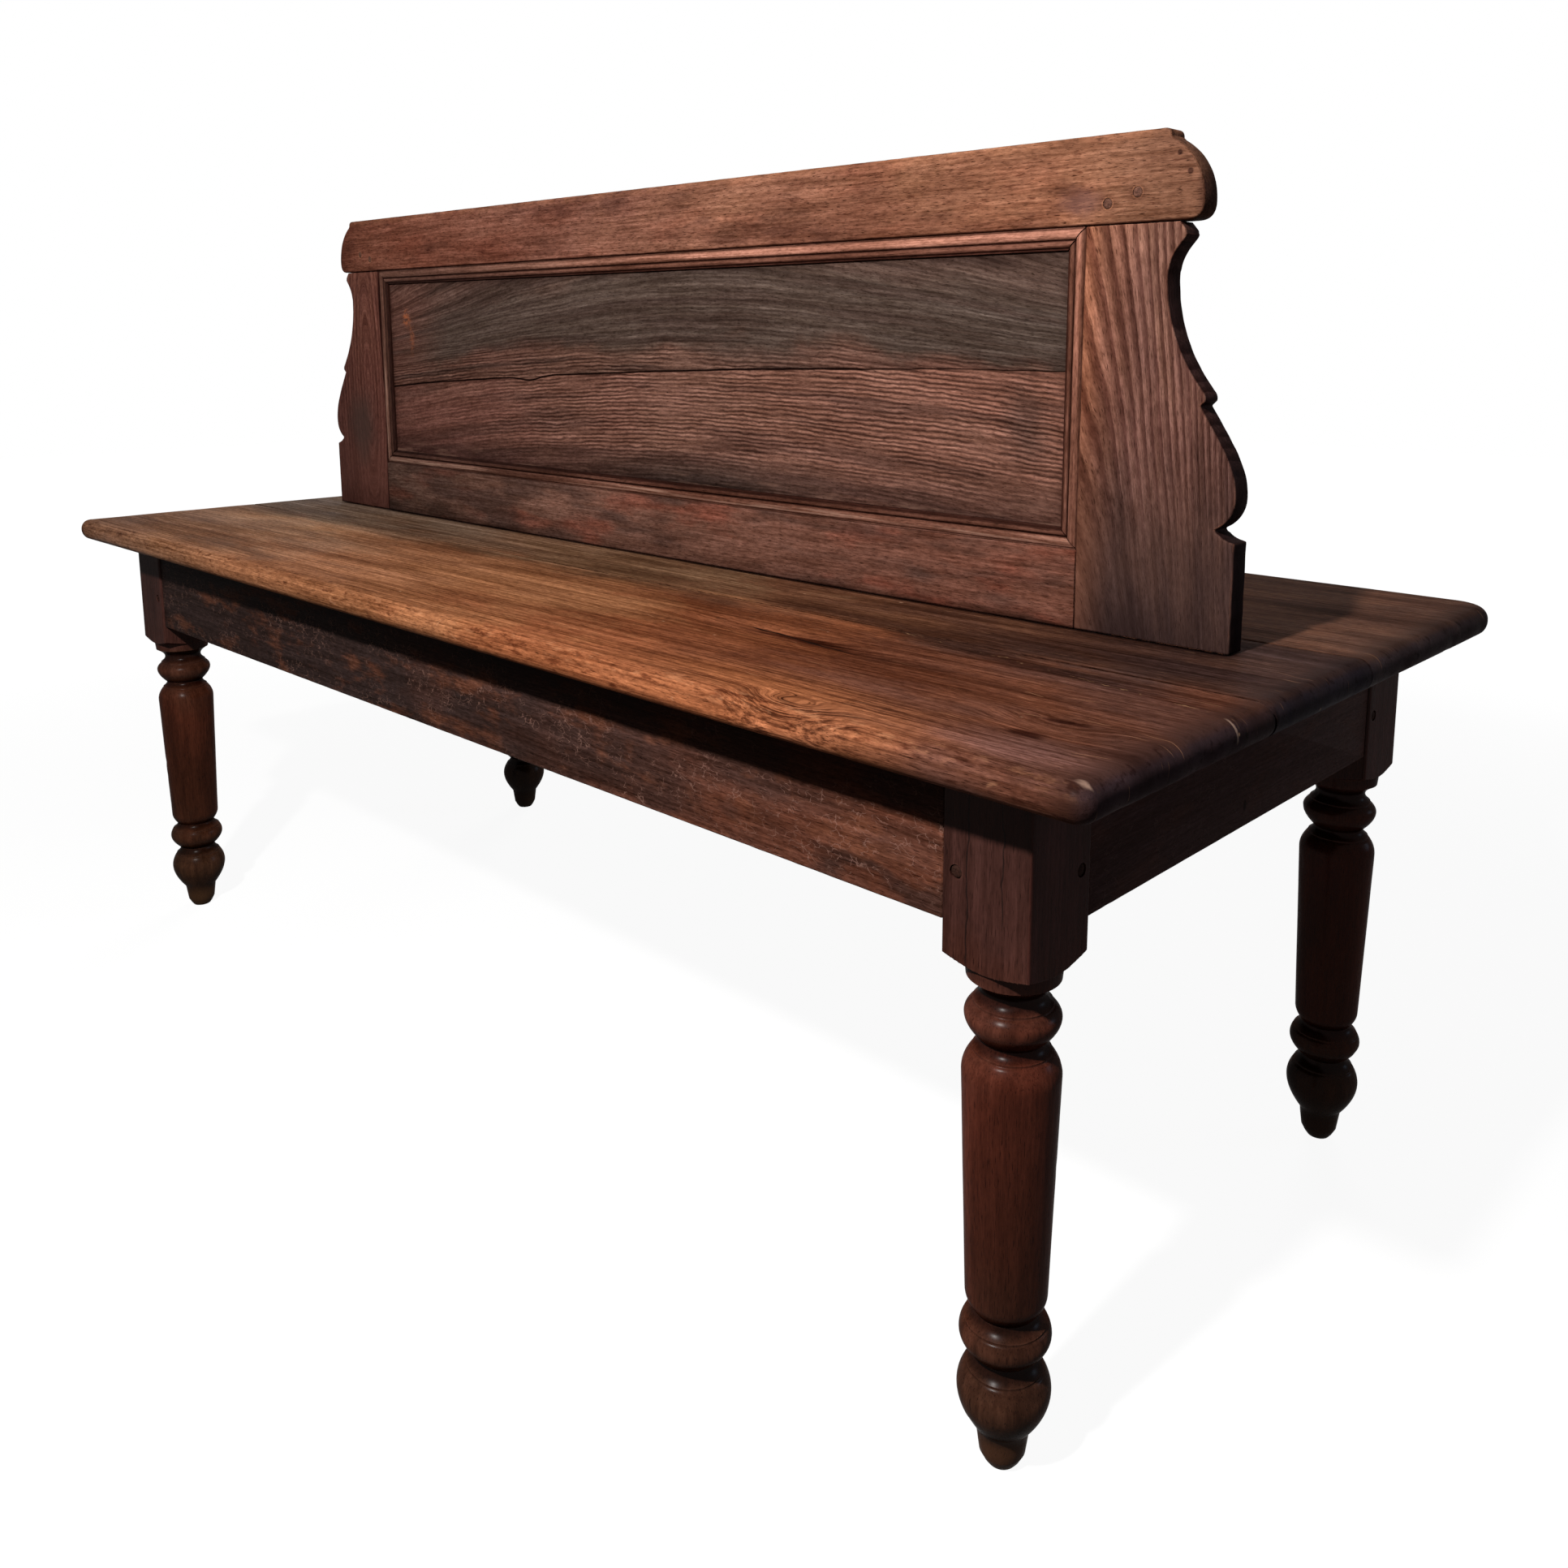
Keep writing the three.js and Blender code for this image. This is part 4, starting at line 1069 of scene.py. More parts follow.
def seat_oak():
    wood = Wood("seat_oak_worn")
    x, y, z = wood.x, wood.y, wood.z
    edge = SEAT_END / MM - abs(x)
    front = y - SEAT_FRONT / MM
    rim = edge.smaller(front)
    around_knot = wood.blob((330, -165, 450), (150, 26, 60), 0.95)
    around_second = wood.blob((587, -222, 450), (60, 26, 60), 0.95)
    swirl = wood.blob((455, -285, 450), (60, 22, 60), 0.95)
    bulge = around_knot.larger(around_second) * 12 + swirl * 16
    past_front = wood.math("GREATER_THAN", y, FRONT_SEAM / MM)
    past_rear = wood.math("GREATER_THAN", y, REAR_SEAM / MM)
    plank_shift = (past_front + past_rear) * PLANK_SHIFT
    where = wood.vec("ADD", wood.wavy((260, 70, 90), (0, 3.2, 0), 3), wood.vector(plank_shift, bulge, 0))
    figure = oak_figure(wood, "x", where, 1, streak=(120, 2.1), pore=(8, 0.5))
    along = x.rise(-SEAT_END / MM, SEAT_END / MM, smooth=False) + (figure.stain * 0.16 - 0.08)
    # The paler tones at the left end stand partly for a painted sheen.
    base = wood.ramp(along, [
        (0.0, (132, 97, 75)), (0.2, (141, 101, 74)), (0.36, (144, 96, 66)), (0.55, (136, 89, 58)),
        (0.68, (121, 70, 44)), (0.8, (97, 55, 36)), (1.0, (78, 49, 39)),
    ])
    behind = (figure.stain * 34 + y).rise(-112, -72)
    base = base.tint(behind, (0.62, 0.79, 0.96))
    rear = y.rise(24, 62)
    base = base.tint(rear, (1.9, 1.72, 1.36))
    # Painted sheen: a paler patch on the left of the seat.
    left_sheen = wood.blob((-440, -150, 450), (200, 62, 60), 0.9)
    base = base.tint(left_sheen, (1.6, 1.7, 1.65))
    cloud = wood.noise((230, 46, 60), 3.0, 0.55, 7, where=where)
    base = base.shade(cloud.rise(0.42, 0.64), (1.06, 1.06, 1.06), (0.62, 0.57, 0.55))
    ragged = wood.wavy((34, 10, 20), (14, 7, 7), 5)
    light_band = (figure.broad * 18 + front).rise(52, 14) * x.rise(-100, 320, 0.25, 1.0)
    light_band = light_band * x.rise(570, 500)
    bare = wood.blob((420, -268, 450), (185, 46, 60), 0.8, ragged)
    worn = (light_band * 0.75).larger(bare) * figure.streaks.rise(0.05, 0.6, 0.35, 1.0)
    base = base.mix(worn * 0.66, (140, 84, 51))
    purple = wood.blob((590, -262, 450), (75, 30, 60), 0.8, ragged)
    base = base.mix(purple * 0.6, (98, 66, 58))
    edge_rub = (figure.stain * 7 + edge).rise(14, 4) * x.rise(100, -100, 0.1, 1.0)
    rub_side = z.rise(446.0, 449.2)
    base = base.mix(edge_rub * rub_side * 0.5, (150, 98, 70))
    # Painted light on the lower rounding of the front edge, which the lamp leaves darker.
    lip = z.rise(444, 436) * front.rise(12, 4) * (x.rise(80, 300) * x.rise(520, 430, 0.2, 1.0))
    base = base.tint(lip, (1.75, 1.75, 1.75))
    # Painted shade on the seat's end faces and along the underside of its edge.
    end_face_shade = z.rise(445.0, 437.0) * edge.rise(22, 12) * x.rise(-100, 100, 1.0, 0.35)
    underside_shade = z.rise(431.0, 428.5).larger(end_face_shade)
    base = base.tint(underside_shade, (0.32, 0.27, 0.26))
    # Painted bluish sheen on the right end's rounded edge.
    end_blue_sheen = edge.rise(12, 2) * z.rise(450.0, 445.5) * x.rise(0, 100)
    base = base.tint(end_blue_sheen, (0.85, 1.05, 1.45))
    # Painted shade: the top darkens towards the right end as its rounding turns from the lamp.
    roll_shade = edge.rise(30, 6) * x.rise(0, 100)
    base = base.tint(roll_shade, (0.5, 0.55, 0.64))
    patch = wood.blob((-566, -286, 428), (60, 26, 26), 0.5, ragged) * z.rise(436, 431)
    base = base.mix(patch * 0.7, (120, 92, 78))
    colour = figured(base, figure, (0.5, 0.42, 0.36), (1.5, 1.6, 1.74))
    colour = colour.mix(edge.rise(30, 10, 0.0, 0.75), base)
    knot = wood.blob((346, -166, 450), (74, 8.5, 30), 0.75, ragged)
    knot = knot.larger(wood.blob((586, -239, 450), (15, 8, 30), 0.7, ragged))
    knot = knot.larger(wood.blob((585, -209, 450), (24, 6, 30), 0.7, ragged))
    knot = knot.larger(swirl * figure.streaks.rise(0.62, 0.3))
    smear = wood.blob((376, -166, 450), (95, 17, 30), 0.9, ragged)
    smear = smear * figure.streaks.rise(0.75, 0.3, 0.25, 1.0)
    colour = colour.tint(smear, (0.45, 0.38, 0.37))
    colour = colour.tint(knot, (0.28, 0.22, 0.22))
    slope = y + x * 0.12
    crack = abs(figure.stain * 6 + slope + 121.5).rise(1.6, 0.5)
    crack = crack * wood.blob((352, -165, 450), (84, 13, 30), 0.35)
    colour = colour.mix(crack, (22, 12, 9))
    ripple = wood.noise((16, 16, 16), 3.0, 0.6, 9)
    off_split = abs(y - (x.rise(373, 640, smooth=False) * -40 - 98 + (ripple * 12 - 6)))
    split_here = x.rise(365, 385) * z.rise(430, 440)
    broken = wood.noise((14, 14, 14), 3.0, 0.65, 10).rise(0.48, 0.62)
    filler = off_split.rise(0.9, 0.3) * split_here * broken
    halo = off_split.rise(9, 1) * split_here
    colour = colour.tint(halo, (0.72, 0.7, 0.7))
    colour = colour.mix(filler * 0.42, (160, 122, 90))
    specks = wood.cells((58, 30, 30), 3).rise(0.045, 0.02)
    colour = colour.mix(specks * 0.5, (190, 150, 120))
    slanting = wood.wavy((60, 60, 40), (14, 12, 5), 8)
    scratches = wood.noise((30, 1.4, 20), 0.0, 0.5, 4, where=slanting).rise(0.8, 0.84)
    colour = colour.mix(scratches * 0.3, (176, 128, 96))
    chips = wood.noise((16, 6, 5), 3.0, 0.7, 12).rise(0.52, 0.66) * (front.rise(17, 4) * z.rise(440, 446))
    chips = chips * x.rise(620, 480, 0.35, 1.0)
    colour = colour.mix(chips * 0.28, (176, 124, 90))
    dark_chips = wood.noise((22, 7, 6), 3.0, 0.65, 14).rise(0.55, 0.68) * rim.rise(17, 6)
    colour = colour.tint(dark_chips, (0.5, 0.42, 0.4))
    # Painted shade: a near-black patch in the worn notch at the right end of the front seam.
    notch = wood.blob((655, -97, 445), (13, 7, 16), 0.7, ragged)
    colour = colour.mix(notch * 0.9, (16, 9, 8))
    glint = wood.blob((645, -284, 447), (6, 4, 5), 0.9, ragged)
    colour = colour.mix(glint * 0.5, (196, 160, 140))
    for seam in (FRONT_SEAM, REAR_SEAM):
        off_seam = abs(y - seam / MM)
        dirt = off_seam.rise(1.5, 0.6) * figure.grit.rise(0.0, 0.6, 1.0, 0.6)
        colour = colour.tint(dirt, (0.2, 0.17, 0.17))
    off_back = abs(y - BACK_Y / MM) - BACK_HALF / MM
    by_back = off_back.rise(4.0, 0.6) * abs(x).rise(588, 578)
    colour = colour.tint(by_back, (0.25, 0.22, 0.22))
    end_line = abs(ripple * 5 + y + 141).rise(1.3, 0.5) * edge.rise(10, 5) * z.rise(436, 440)
    colour = colour.mix(end_line * 0.55, (170, 140, 122))
    height = figure_height(figure, crack.larger(chips) * 0.5)
    roughness = figure.stain.rise(0, 1, 0.4, 0.56)
    return wood.finish(colour, height, 0.26, roughness, 0.005)


# The back's woods

def rail_oak(name, tones, seed, smoky=0.0, red=0.5, pore_amount=1.0):
    """Oak that runs along the bench, with three tones for its left end, middle and right end."""
    wood = Wood(name)
    where = wood.wavy((300, 90, 60), (0, 0, 4), seed)
    figure = oak_figure(wood, "x", where, seed, streak=(46, 1.7), pore=(6.5, 0.5))
    along = wood.x.rise(-560, 560, smooth=False) + (figure.stain * 0.2 - 0.1)
    base = wood.ramp(along, [(0.05, tones[0]), (0.45, tones[1]), (0.85, tones[2])])
    base = base.shade(figure.stain, (0.8, 0.74, 0.72), (1.14, 1.16, 1.16))
    reddish = wood.noise((120, 30, 34), 3.0, 0.6, seed + 8).rise(0.5, 0.68)
    base = base.tint(reddish * red, (1.24, 0.92, 0.86))
    if smoky:
        cloud = wood.noise((170, 60, 34), 3.0, 0.6, seed + 9).rise(0.44, 0.62)
        base = base.mix(cloud * smoky, (62, 44, 38))
    colour = figured(base, figure, (0.66, 0.6, 0.56), (1.32, 1.38, 1.44), pore_amount=pore_amount)
    return wood, figure, colour


def top_rail_oak():
    wood, figure, colour = rail_oak("top_rail_oak", [(111, 67, 52), (109, 71, 58), (118, 79, 59)], 21,
                                    red=0.25, pore_amount=1.3)
    x, z = wood.x, wood.z
    drifting = wood.wavy((50, 50, 20), (0, 0, 2.5), 2)
    dashes = wood.noise((13, 2, 1.7), 2.0, 0.6, 31, where=drifting).rise(0.63, 0.72)
    colour = colour.tint(dashes, (0.56, 0.46, 0.44))
    stain = wood.blob((462, -12, 742), (24, 20, 13), 0.8, wood.wavy((12, 12, 12), (6, 0, 6), 3))
    colour = colour.mix(stain * 0.6, (84, 58, 56))
    dull_end = x.rise(450, 520)
    colour = colour.tint(dull_end, (0.75, 0.77, 0.8))
    smudge = wood.noise((75, 30, 24), 4.0, 0.62, 37).rise(0.5, 0.68)
    colour = colour.shade(smudge * 0.8, (1.06, 1.06, 1.06), (0.58, 0.56, 0.58))
    for nail_x, nail_z, size in ((533.6, 767.9, 2.2), (541.4, 755.9, 2.6)):
        nail = wood.blob((nail_x, -12, nail_z), (size, 12, size), 0.5)
        colour = colour.tint(nail, (0.34, 0.3, 0.32))
    for halo_x, halo_z in ((482, 739), (504, 745)):
        halo = wood.blob((halo_x, -12, halo_z), (11, 20, 9), 0.7)
        colour = colour.tint(halo, (0.68, 0.63, 0.63))
    left_end = x.rise(-500, -560)
    colour = colour.tint(left_end, (0.62, 0.56, 0.56))
    top = z.rise(BACK_TOP / MM - 9, BACK_TOP / MM - 1)
    # Rub and a painted highlight on the arrises and along the top.
    rub_and_highlight = wood.edge_wear_and_highlight(2.4).larger(top * 0.35) * wood.noise((18, 8, 8), 3.0, 0.6, 35).rise(0.36, 0.56)
    colour = colour.mix(rub_and_highlight * 0.5, (176, 120, 88))
    colour = colour.tint(z.rise(RAIL_UNDERSIDE / MM + 2.0, RAIL_UNDERSIDE / MM + 0.8), (0.3, 0.25, 0.25))
    ends = abs(x + 4).rise(549, 556)
    colour = colour.tint(ends, (0.4, 0.36, 0.38))
    height = figure_height(figure, dashes * 0.3)
    return wood.finish(colour, height, 0.26, figure.stain.rise(0, 1, 0.4, 0.56), 0.006)


def foot_line(wood):
    """The dark line where the back stands on the seat."""
    return wood.z.rise(SEAT_TOP / MM + 2.4, SEAT_TOP / MM + 0.9)


def bottom_rail_oak():
    wood, figure, colour = rail_oak("bottom_rail_oak", [(57, 43, 37), (103, 72, 60), (96, 60, 48)], 41,
                                    smoky=0.8, red=1.0)
    foot = wood.z.rise(SEAT_TOP / MM + 14, SEAT_TOP / MM + 1) * figure.stain.rise(0.1, 0.9, 0.5, 1.0)
    colour = colour.tint(foot, (0.52, 0.5, 0.5))
    colour = colour.tint(foot_line(wood), (0.15, 0.13, 0.13))
    return wood.finish(colour, figure_height(figure), 0.26, 0.5, 0.005)


def moulding_oak(axis):
    """The mouldings: rub and painted highlights on their crowns, grime and painted shade in their quirks."""
    wood = Wood(f"moulding_oak_{axis}")
    x, y, z = wood.x, wood.y, wood.z
    figure = oak_figure(wood, axis, wood.place, 51, streak=(60, 1.2), pore=(7, 0.5))
    base = wood.ramp(x.rise(-460, 460), [(0.0, (96, 66, 55)), (0.5, (114, 75, 60)), (1.0, (116, 76, 61))])
    upright = z.rise(BOTTOM_RAIL_TOP / MM, RAIL_UNDERSIDE / MM)
    base = base.shade(upright, (0.72, 0.7, 0.7), (1.08, 1.08, 1.08))
    base = base.shade(figure.stain, (0.74, 0.7, 0.68), (1.18, 1.2, 1.22))
    colour = figured(base, figure, (0.62, 0.56, 0.52), (1.34, 1.4, 1.46))
    off_face = BACK_HALF / MM - abs(y - BACK_Y / MM)
    # Rub and a painted highlight on the crowns, near the frame's face.
    rub_and_highlight = off_face.rise(1.1, 0.3) * figure.broad.rise(0.2, 0.8)
    colour = colour.tint(rub_and_highlight, (1.6, 1.66, 1.7))
    greyed = x.rise(100, -350).larger(z.rise(560, 535))
    bleached = rub_and_highlight * greyed * figure.streaks.rise(0.2, 0.7)
    colour = colour.mix(bleached * 0.75, (140, 112, 97))
    # Grime and painted shade, darker the deeper a spot lies below the frame's face.
    grime_and_shade = off_face.rise(0.9, 2.3)
    colour = colour.tint(grime_and_shade, (0.2, 0.16, 0.16))
    return wood.finish(colour, figure_height(figure), 0.18, 0.4, 0.012, 0.32)


ARCH_BEND = 1 / 20
ARCH_SCALE = 1 / 6


def stile_oak(side):
    """Upright oak; the right stile shows bold slanting rings, the left one an arch of dark wood."""
    right = side > 0
    wood = Wood("stile_oak_right" if right else "stile_oak_left")
    y, z = wood.y, wood.z
    outer = (high("back_stile_right") if right else low("back_stile_left")).x / MM
    where = wood.wavy((70, 60, 160), (3, 0, 0), 4 + side)
    inward = (outer - wood.parts(where)[0]) * side
    drop = RAIL_UNDERSIDE / MM - z
    if right:
        across = 136.5 - inward
        arched = z + across * across * ARCH_BEND
        arched = wood.noise((26, 26, 120), 2.0, 0.5, 64) * 40 + arched
        ring_place = arched * ARCH_SCALE
    else:
        nested = wood.vec("MULTIPLY", wood.vec("SUBTRACT", where, (-508, -12, 600)), (1, 0, 0.16))
        ring_place = wood.vec("LENGTH", nested)
    rings = ring_lines(ring_place, 8 if right else 6.5, 0.8)
    leaning = wood.vector(ring_place, y, z)
    figure = oak_figure(wood, "z", leaning, 61 + side, streak=(50, 1.3), pore=(7, 0.5))
    height_share = z.rise(450, 726, smooth=False)
    if right:
        tones = [(0.0, (54, 40, 37)), (0.28, (70, 50, 44)), (0.6, (98, 68, 59)), (1.0, (114, 81, 67))]
    else:
        tones = [(0.0, (75, 47, 40)), (0.4, (84, 52, 45)), (0.7, (93, 58, 50)), (1.0, (109, 70, 58))]
    base = wood.ramp(height_share + (figure.stain * 0.24 - 0.12), tones)
    base = base.shade(figure.stain, (0.86, 0.82, 0.84), (1.12, 1.1, 1.08))
    if right:
        seam_rub = inward.rise(98, 116) * z.rise(540, 640)
        base = base.mix(seam_rub * 0.4, (158, 98, 66))
        brown = (inward + drop * -0.1).rise(60, 100)
        base = base.mix(brown * 0.35, (136, 86, 62))
    colour = figured(base, figure, (0.74, 0.7, 0.68), (1.22, 1.26, 1.3))
    colour = colour.mix(z.rise(560, 500, 0.0, 0.45), base)
    fade = z.rise(480, 590)
    ring_depth = rings * (fade * (0.75 if right else 0.45) + 0.2)
    colour = colour.shade(ring_depth, (1.06, 1.06, 1.06), (0.46, 0.38, 0.38))
    if not right:
        smoke = wood.blob((-528, -12, 548), (44, 40, 58), 0.8, wood.wavy((26, 26, 40), (12, 0, 20), 5))
        colour = colour.mix(smoke * 0.75, (62, 48, 43))
    foot = z.rise(486, 452) * 0.6
    colour = colour.tint(foot, (0.7, 0.68, 0.7))
    colour = colour.tint(foot_line(wood), (0.15, 0.13, 0.13))
    width = abs(outer - BACK_X / MM) - (high("moulding_front_bottom").x - BACK_X) / MM
    seam_line = inward.rise(width - 1.9, width - 0.7)
    colour = colour.tint(seam_line, (0.2, 0.16, 0.16))
    # Wear and a painted highlight on the scroll-sawn arrises.
    edge = wood.edge_wear_and_highlight(1.6) * inward.rise(96, 84)
    patchy = wood.noise((9, 9, 16), 3.0, 0.65, 66).rise(0.4, 0.62)
    colour = colour.mix(edge * patchy * 0.6, (176, 112, 84))
    off_face = BACK_HALF / MM - abs(y - BACK_Y / MM)
    sawn_edge = off_face.rise(0.9, 1.6) * inward.rise(110, 70)
    colour = colour.tint(sawn_edge, (0.3, 0.28, 0.32))
    height = figure_height(figure, ring_depth * 0.4)
    return wood.finish(colour, height, 0.26, 0.45, 0.005)


RIPPLE_LENGTH = 3.7


def panel_oak(upper):
    """The panel's boards: dull and smoky, with arched rings and fine pale ripples across them."""
    wood = Wood("panel_oak_upper" if upper else "panel_oak_lower")
    x, y, z = wood.x, wood.y, wood.z
    from_middle = (x - (40 if upper else 90)) / 430
    rise = from_middle * from_middle * (58 if upper else 24)
    if upper:
        rise = rise * z.rise(600, 700, 0.35, 1.0)
    where = wood.vec("ADD", wood.wavy((120, 60, 40), (0, 0, 3.2), 6), wood.vector(0, 0, rise))
    ring_place = wood.parts(where)[2]
    figure = oak_figure(wood, "x", where, 71 if upper else 81, streak=(40, 1.5), pore=(5, 0.5))
    fine = wood.noise((26, 10, 9), 2.0, 0.6, 5) * 4.5 + ring_place
    ripples = (fine * (2 * math.pi / RIPPLE_LENGTH)).sine() * 0.5 + 0.5
    along = x.rise(-460, 460, smooth=False) + (figure.stain * 0.24 - 0.12)
    if upper:
        tones = [(0.0, (89, 61, 53)), (0.3, (94, 68, 58)), (0.6, (94, 69, 59)), (1.0, (72, 52, 45))]
        base = wood.ramp(along, tones)
        lean = figure.stain * 22 + ring_place
        smoke = lean.rise(650, 672) * lean.rise(742, 716, 0.55, 1.0) * x.rise(-440, -330)
        base = base.mix(smoke * 0.85, (69, 59, 53))
        streak_cloud = wood.noise((190, 30, 11), 2.0, 0.5, 77, where=where).rise(0.5, 0.64)
        base = base.mix(streak_cloud * 0.6, (58, 44, 39))
        near_joint = lean.rise(668, 644) * x.rise(150, 330)
        base = base.mix(near_joint * 0.7, (98, 67, 57))
        ripple_amount = lean.rise(676, 640, 0.3, 1.0)
    else:
        tones = [(0.0, (95, 62, 54)), (0.3, (98, 68, 58)), (0.6, (101, 72, 61)), (1.0, (99, 67, 56))]
        base = wood.ramp(along, tones)
        cloud = wood.blob((60, -6, 522), (240, 40, 34), 0.9, wood.wavy((90, 40, 30), (40, 0, 10), 2))
        base = base.mix(cloud * 0.85, (58, 46, 41))
        second = wood.noise((150, 40, 15), 2.0, 0.5, 87, where=where).rise(0.5, 0.66)
        base = base.mix(second * 0.55, (68, 47, 41))
        side_stain = wood.blob((418, -6, 590), (26, 20, 44), 0.8, wood.wavy((20, 20, 30), (12, 0, 18), 4))
        base = base.mix(side_stain * 0.7, (66, 48, 42))
        ripple_amount = x.rise(-400, -100, 0.3, 1.0) * z.rise(525, 560, 0.4, 1.0)
    patches = wood.noise((48, 20, 16), 2.0, 0.5, 91, where=where).rise(0.3, 0.56, 0.15, 1.0)
    colour = figured(base, figure, (0.74, 0.7, 0.68), (1.22, 1.25, 1.27))
    contrast = (ripples - 0.5) * (ripple_amount * patches)
    colour = colour.shade(contrast + 0.5, (0.4, 0.36, 0.35), (1.75, 1.75, 1.72))
    rings = ring_lines(figure.stain * 3 + ring_place, 8.5, 0.7)
    colour = colour.shade(rings * (0.5 if upper else 0.25), (1.05, 1.05, 1.05), (0.5, 0.46, 0.46))
    if upper:
        rag = wood.wavy((7, 7, 7), (5, 0, 7), 9)
        bare = wood.blob((-426, -6, 671), (11, 20, 13), 0.8, rag)
        drip = wood.blob((-416, -6, 650), (7, 20, 26), 0.9, rag)
        bare = bare.larger(drip * 0.5)
        flaked = wood.noise((5, 5, 4), 3.0, 0.7, 93).rise(0.4, 0.56)
        bare = bare * flaked * wood.math("LESS_THAN", y, BACK_Y / MM)
        colour = colour.mix(bare * 0.8, (160, 92, 60))
    below_face = PANEL_HALF / MM - abs(y - BACK_Y / MM)
    groove = below_face.rise(0.02, 0.3) * x.rise(330, 200, 0.4, 1.0)
    colour = colour.tint(groove, (0.1, 0.08, 0.08))
    slit = wood.blob((-270, -6, 606), (110, 20, 7), 0.8, wood.wavy((30, 10, 10), (0, 0, 4), 12))
    colour = colour.tint(slit * 0.6, (0.45, 0.4, 0.4))
    border = (462 - abs(x + 4)).smaller(100 - abs(z - 616))
    # Grime and painted shade along the panel's border, next to the mouldings.
    grime_and_shade = (figure.stain * 8 + border).rise(20, 4)
    colour = colour.tint(grime_and_shade, (0.5, 0.46, 0.46))
    colour = colour.tint(z.rise(556, 526), (0.64, 0.66, 0.69))
    low_edge = z.rise(540, 520)
    dust = low_edge * wood.noise((60, 20, 8), 3.0, 0.6, 95).rise(0.5, 0.7)
    colour = colour.mix(dust * 0.35, (140, 106, 91))
    height = figure_height(figure, (1 - ripples) * 0.25)
    return wood.finish(colour, height, 0.26, 0.5, 0.004)


# The frame's and the legs' woods

def frame_oak(axis):
    """The aprons: dark stain over red oak, worn through in patches and finely crackled."""
    wood = Wood(f"frame_oak_{axis}")
    where = wood.wavy((160, 160, 60), (0, 0, 3), 7)
    figure = oak_figure(wood, axis, where, 101, streak=(60, 2.2), pore=(8, 0.6))
    along = wood.x if axis == "x" else wood.y
    share = along.rise(-540, 540, smooth=False) + (figure.stain * 0.3 - 0.15)
    if axis == "x":
        base = wood.ramp(share, [
            (0.0, (43, 30, 27)), (0.45, (44, 32, 29)), (0.75, (63, 40, 33)), (0.93, (88, 51, 38)),
            (1.0, (64, 41, 34)),
        ])
    else:
        base = wood.blend(share, (57, 39, 36), (68, 45, 40))
    patches = wood.noise(AXIS_SIZES[axis](70, 26), 4.0, 0.65, 103, where=where).rise(0.48, 0.66)
    base = base.mix(patches * (0.65 if axis == "x" else 0.15), (98, 58, 41))
    colour = figured(base, figure, (0.6, 0.55, 0.5), (1.4, 1.46, 1.52))
    if axis == "y":
        colour = colour.mix(0.45, base)
    flakes = wood.cells((8, 8, 4.2), where=wood.wavy((7, 7, 7), (5, 5, 4), 3), feature="DISTANCE_TO_EDGE")
    broken = wood.noise((9, 9, 9), 2.0, 0.6, 111).rise(0.46, 0.6)
    crackled = wood.noise((90, 60, 34), 2.0, 0.5, 107).rise(0.4, 0.56)
    crackle = flakes.rise(0.06, 0.01) * broken * crackled
    colour = colour.mix(crackle * (0.42 if axis == "x" else 0.12), (144, 108, 96))
    # Rub and a painted highlight on the arrises.
    arris_rub_and_highlight = wood.edge_wear_and_highlight(2.0) * wood.noise((20, 20, 10), 3.0, 0.6, 109).rise(0.42, 0.6)
    colour = colour.mix(arris_rub_and_highlight * 0.4, (124, 76, 56))
    # Painted shadow of the seat's overhang across the top of the aprons.
    overhang_shadow = wood.z.rise(390, 415)
    colour = colour.tint(overhang_shadow, (0.3, 0.28, 0.28))
    if axis == "y":
        # Painted shade of a slot in the end apron.
        slot = wood.blob((598, -6, 352), (8, 2.6, 5), 0.4)
        colour = colour.tint(slot, (0.2, 0.16, 0.16))
    height = figure_height(figure, crackle * -0.2)
    return wood.finish(colour, height, 0.26, 0.42, 0.005)


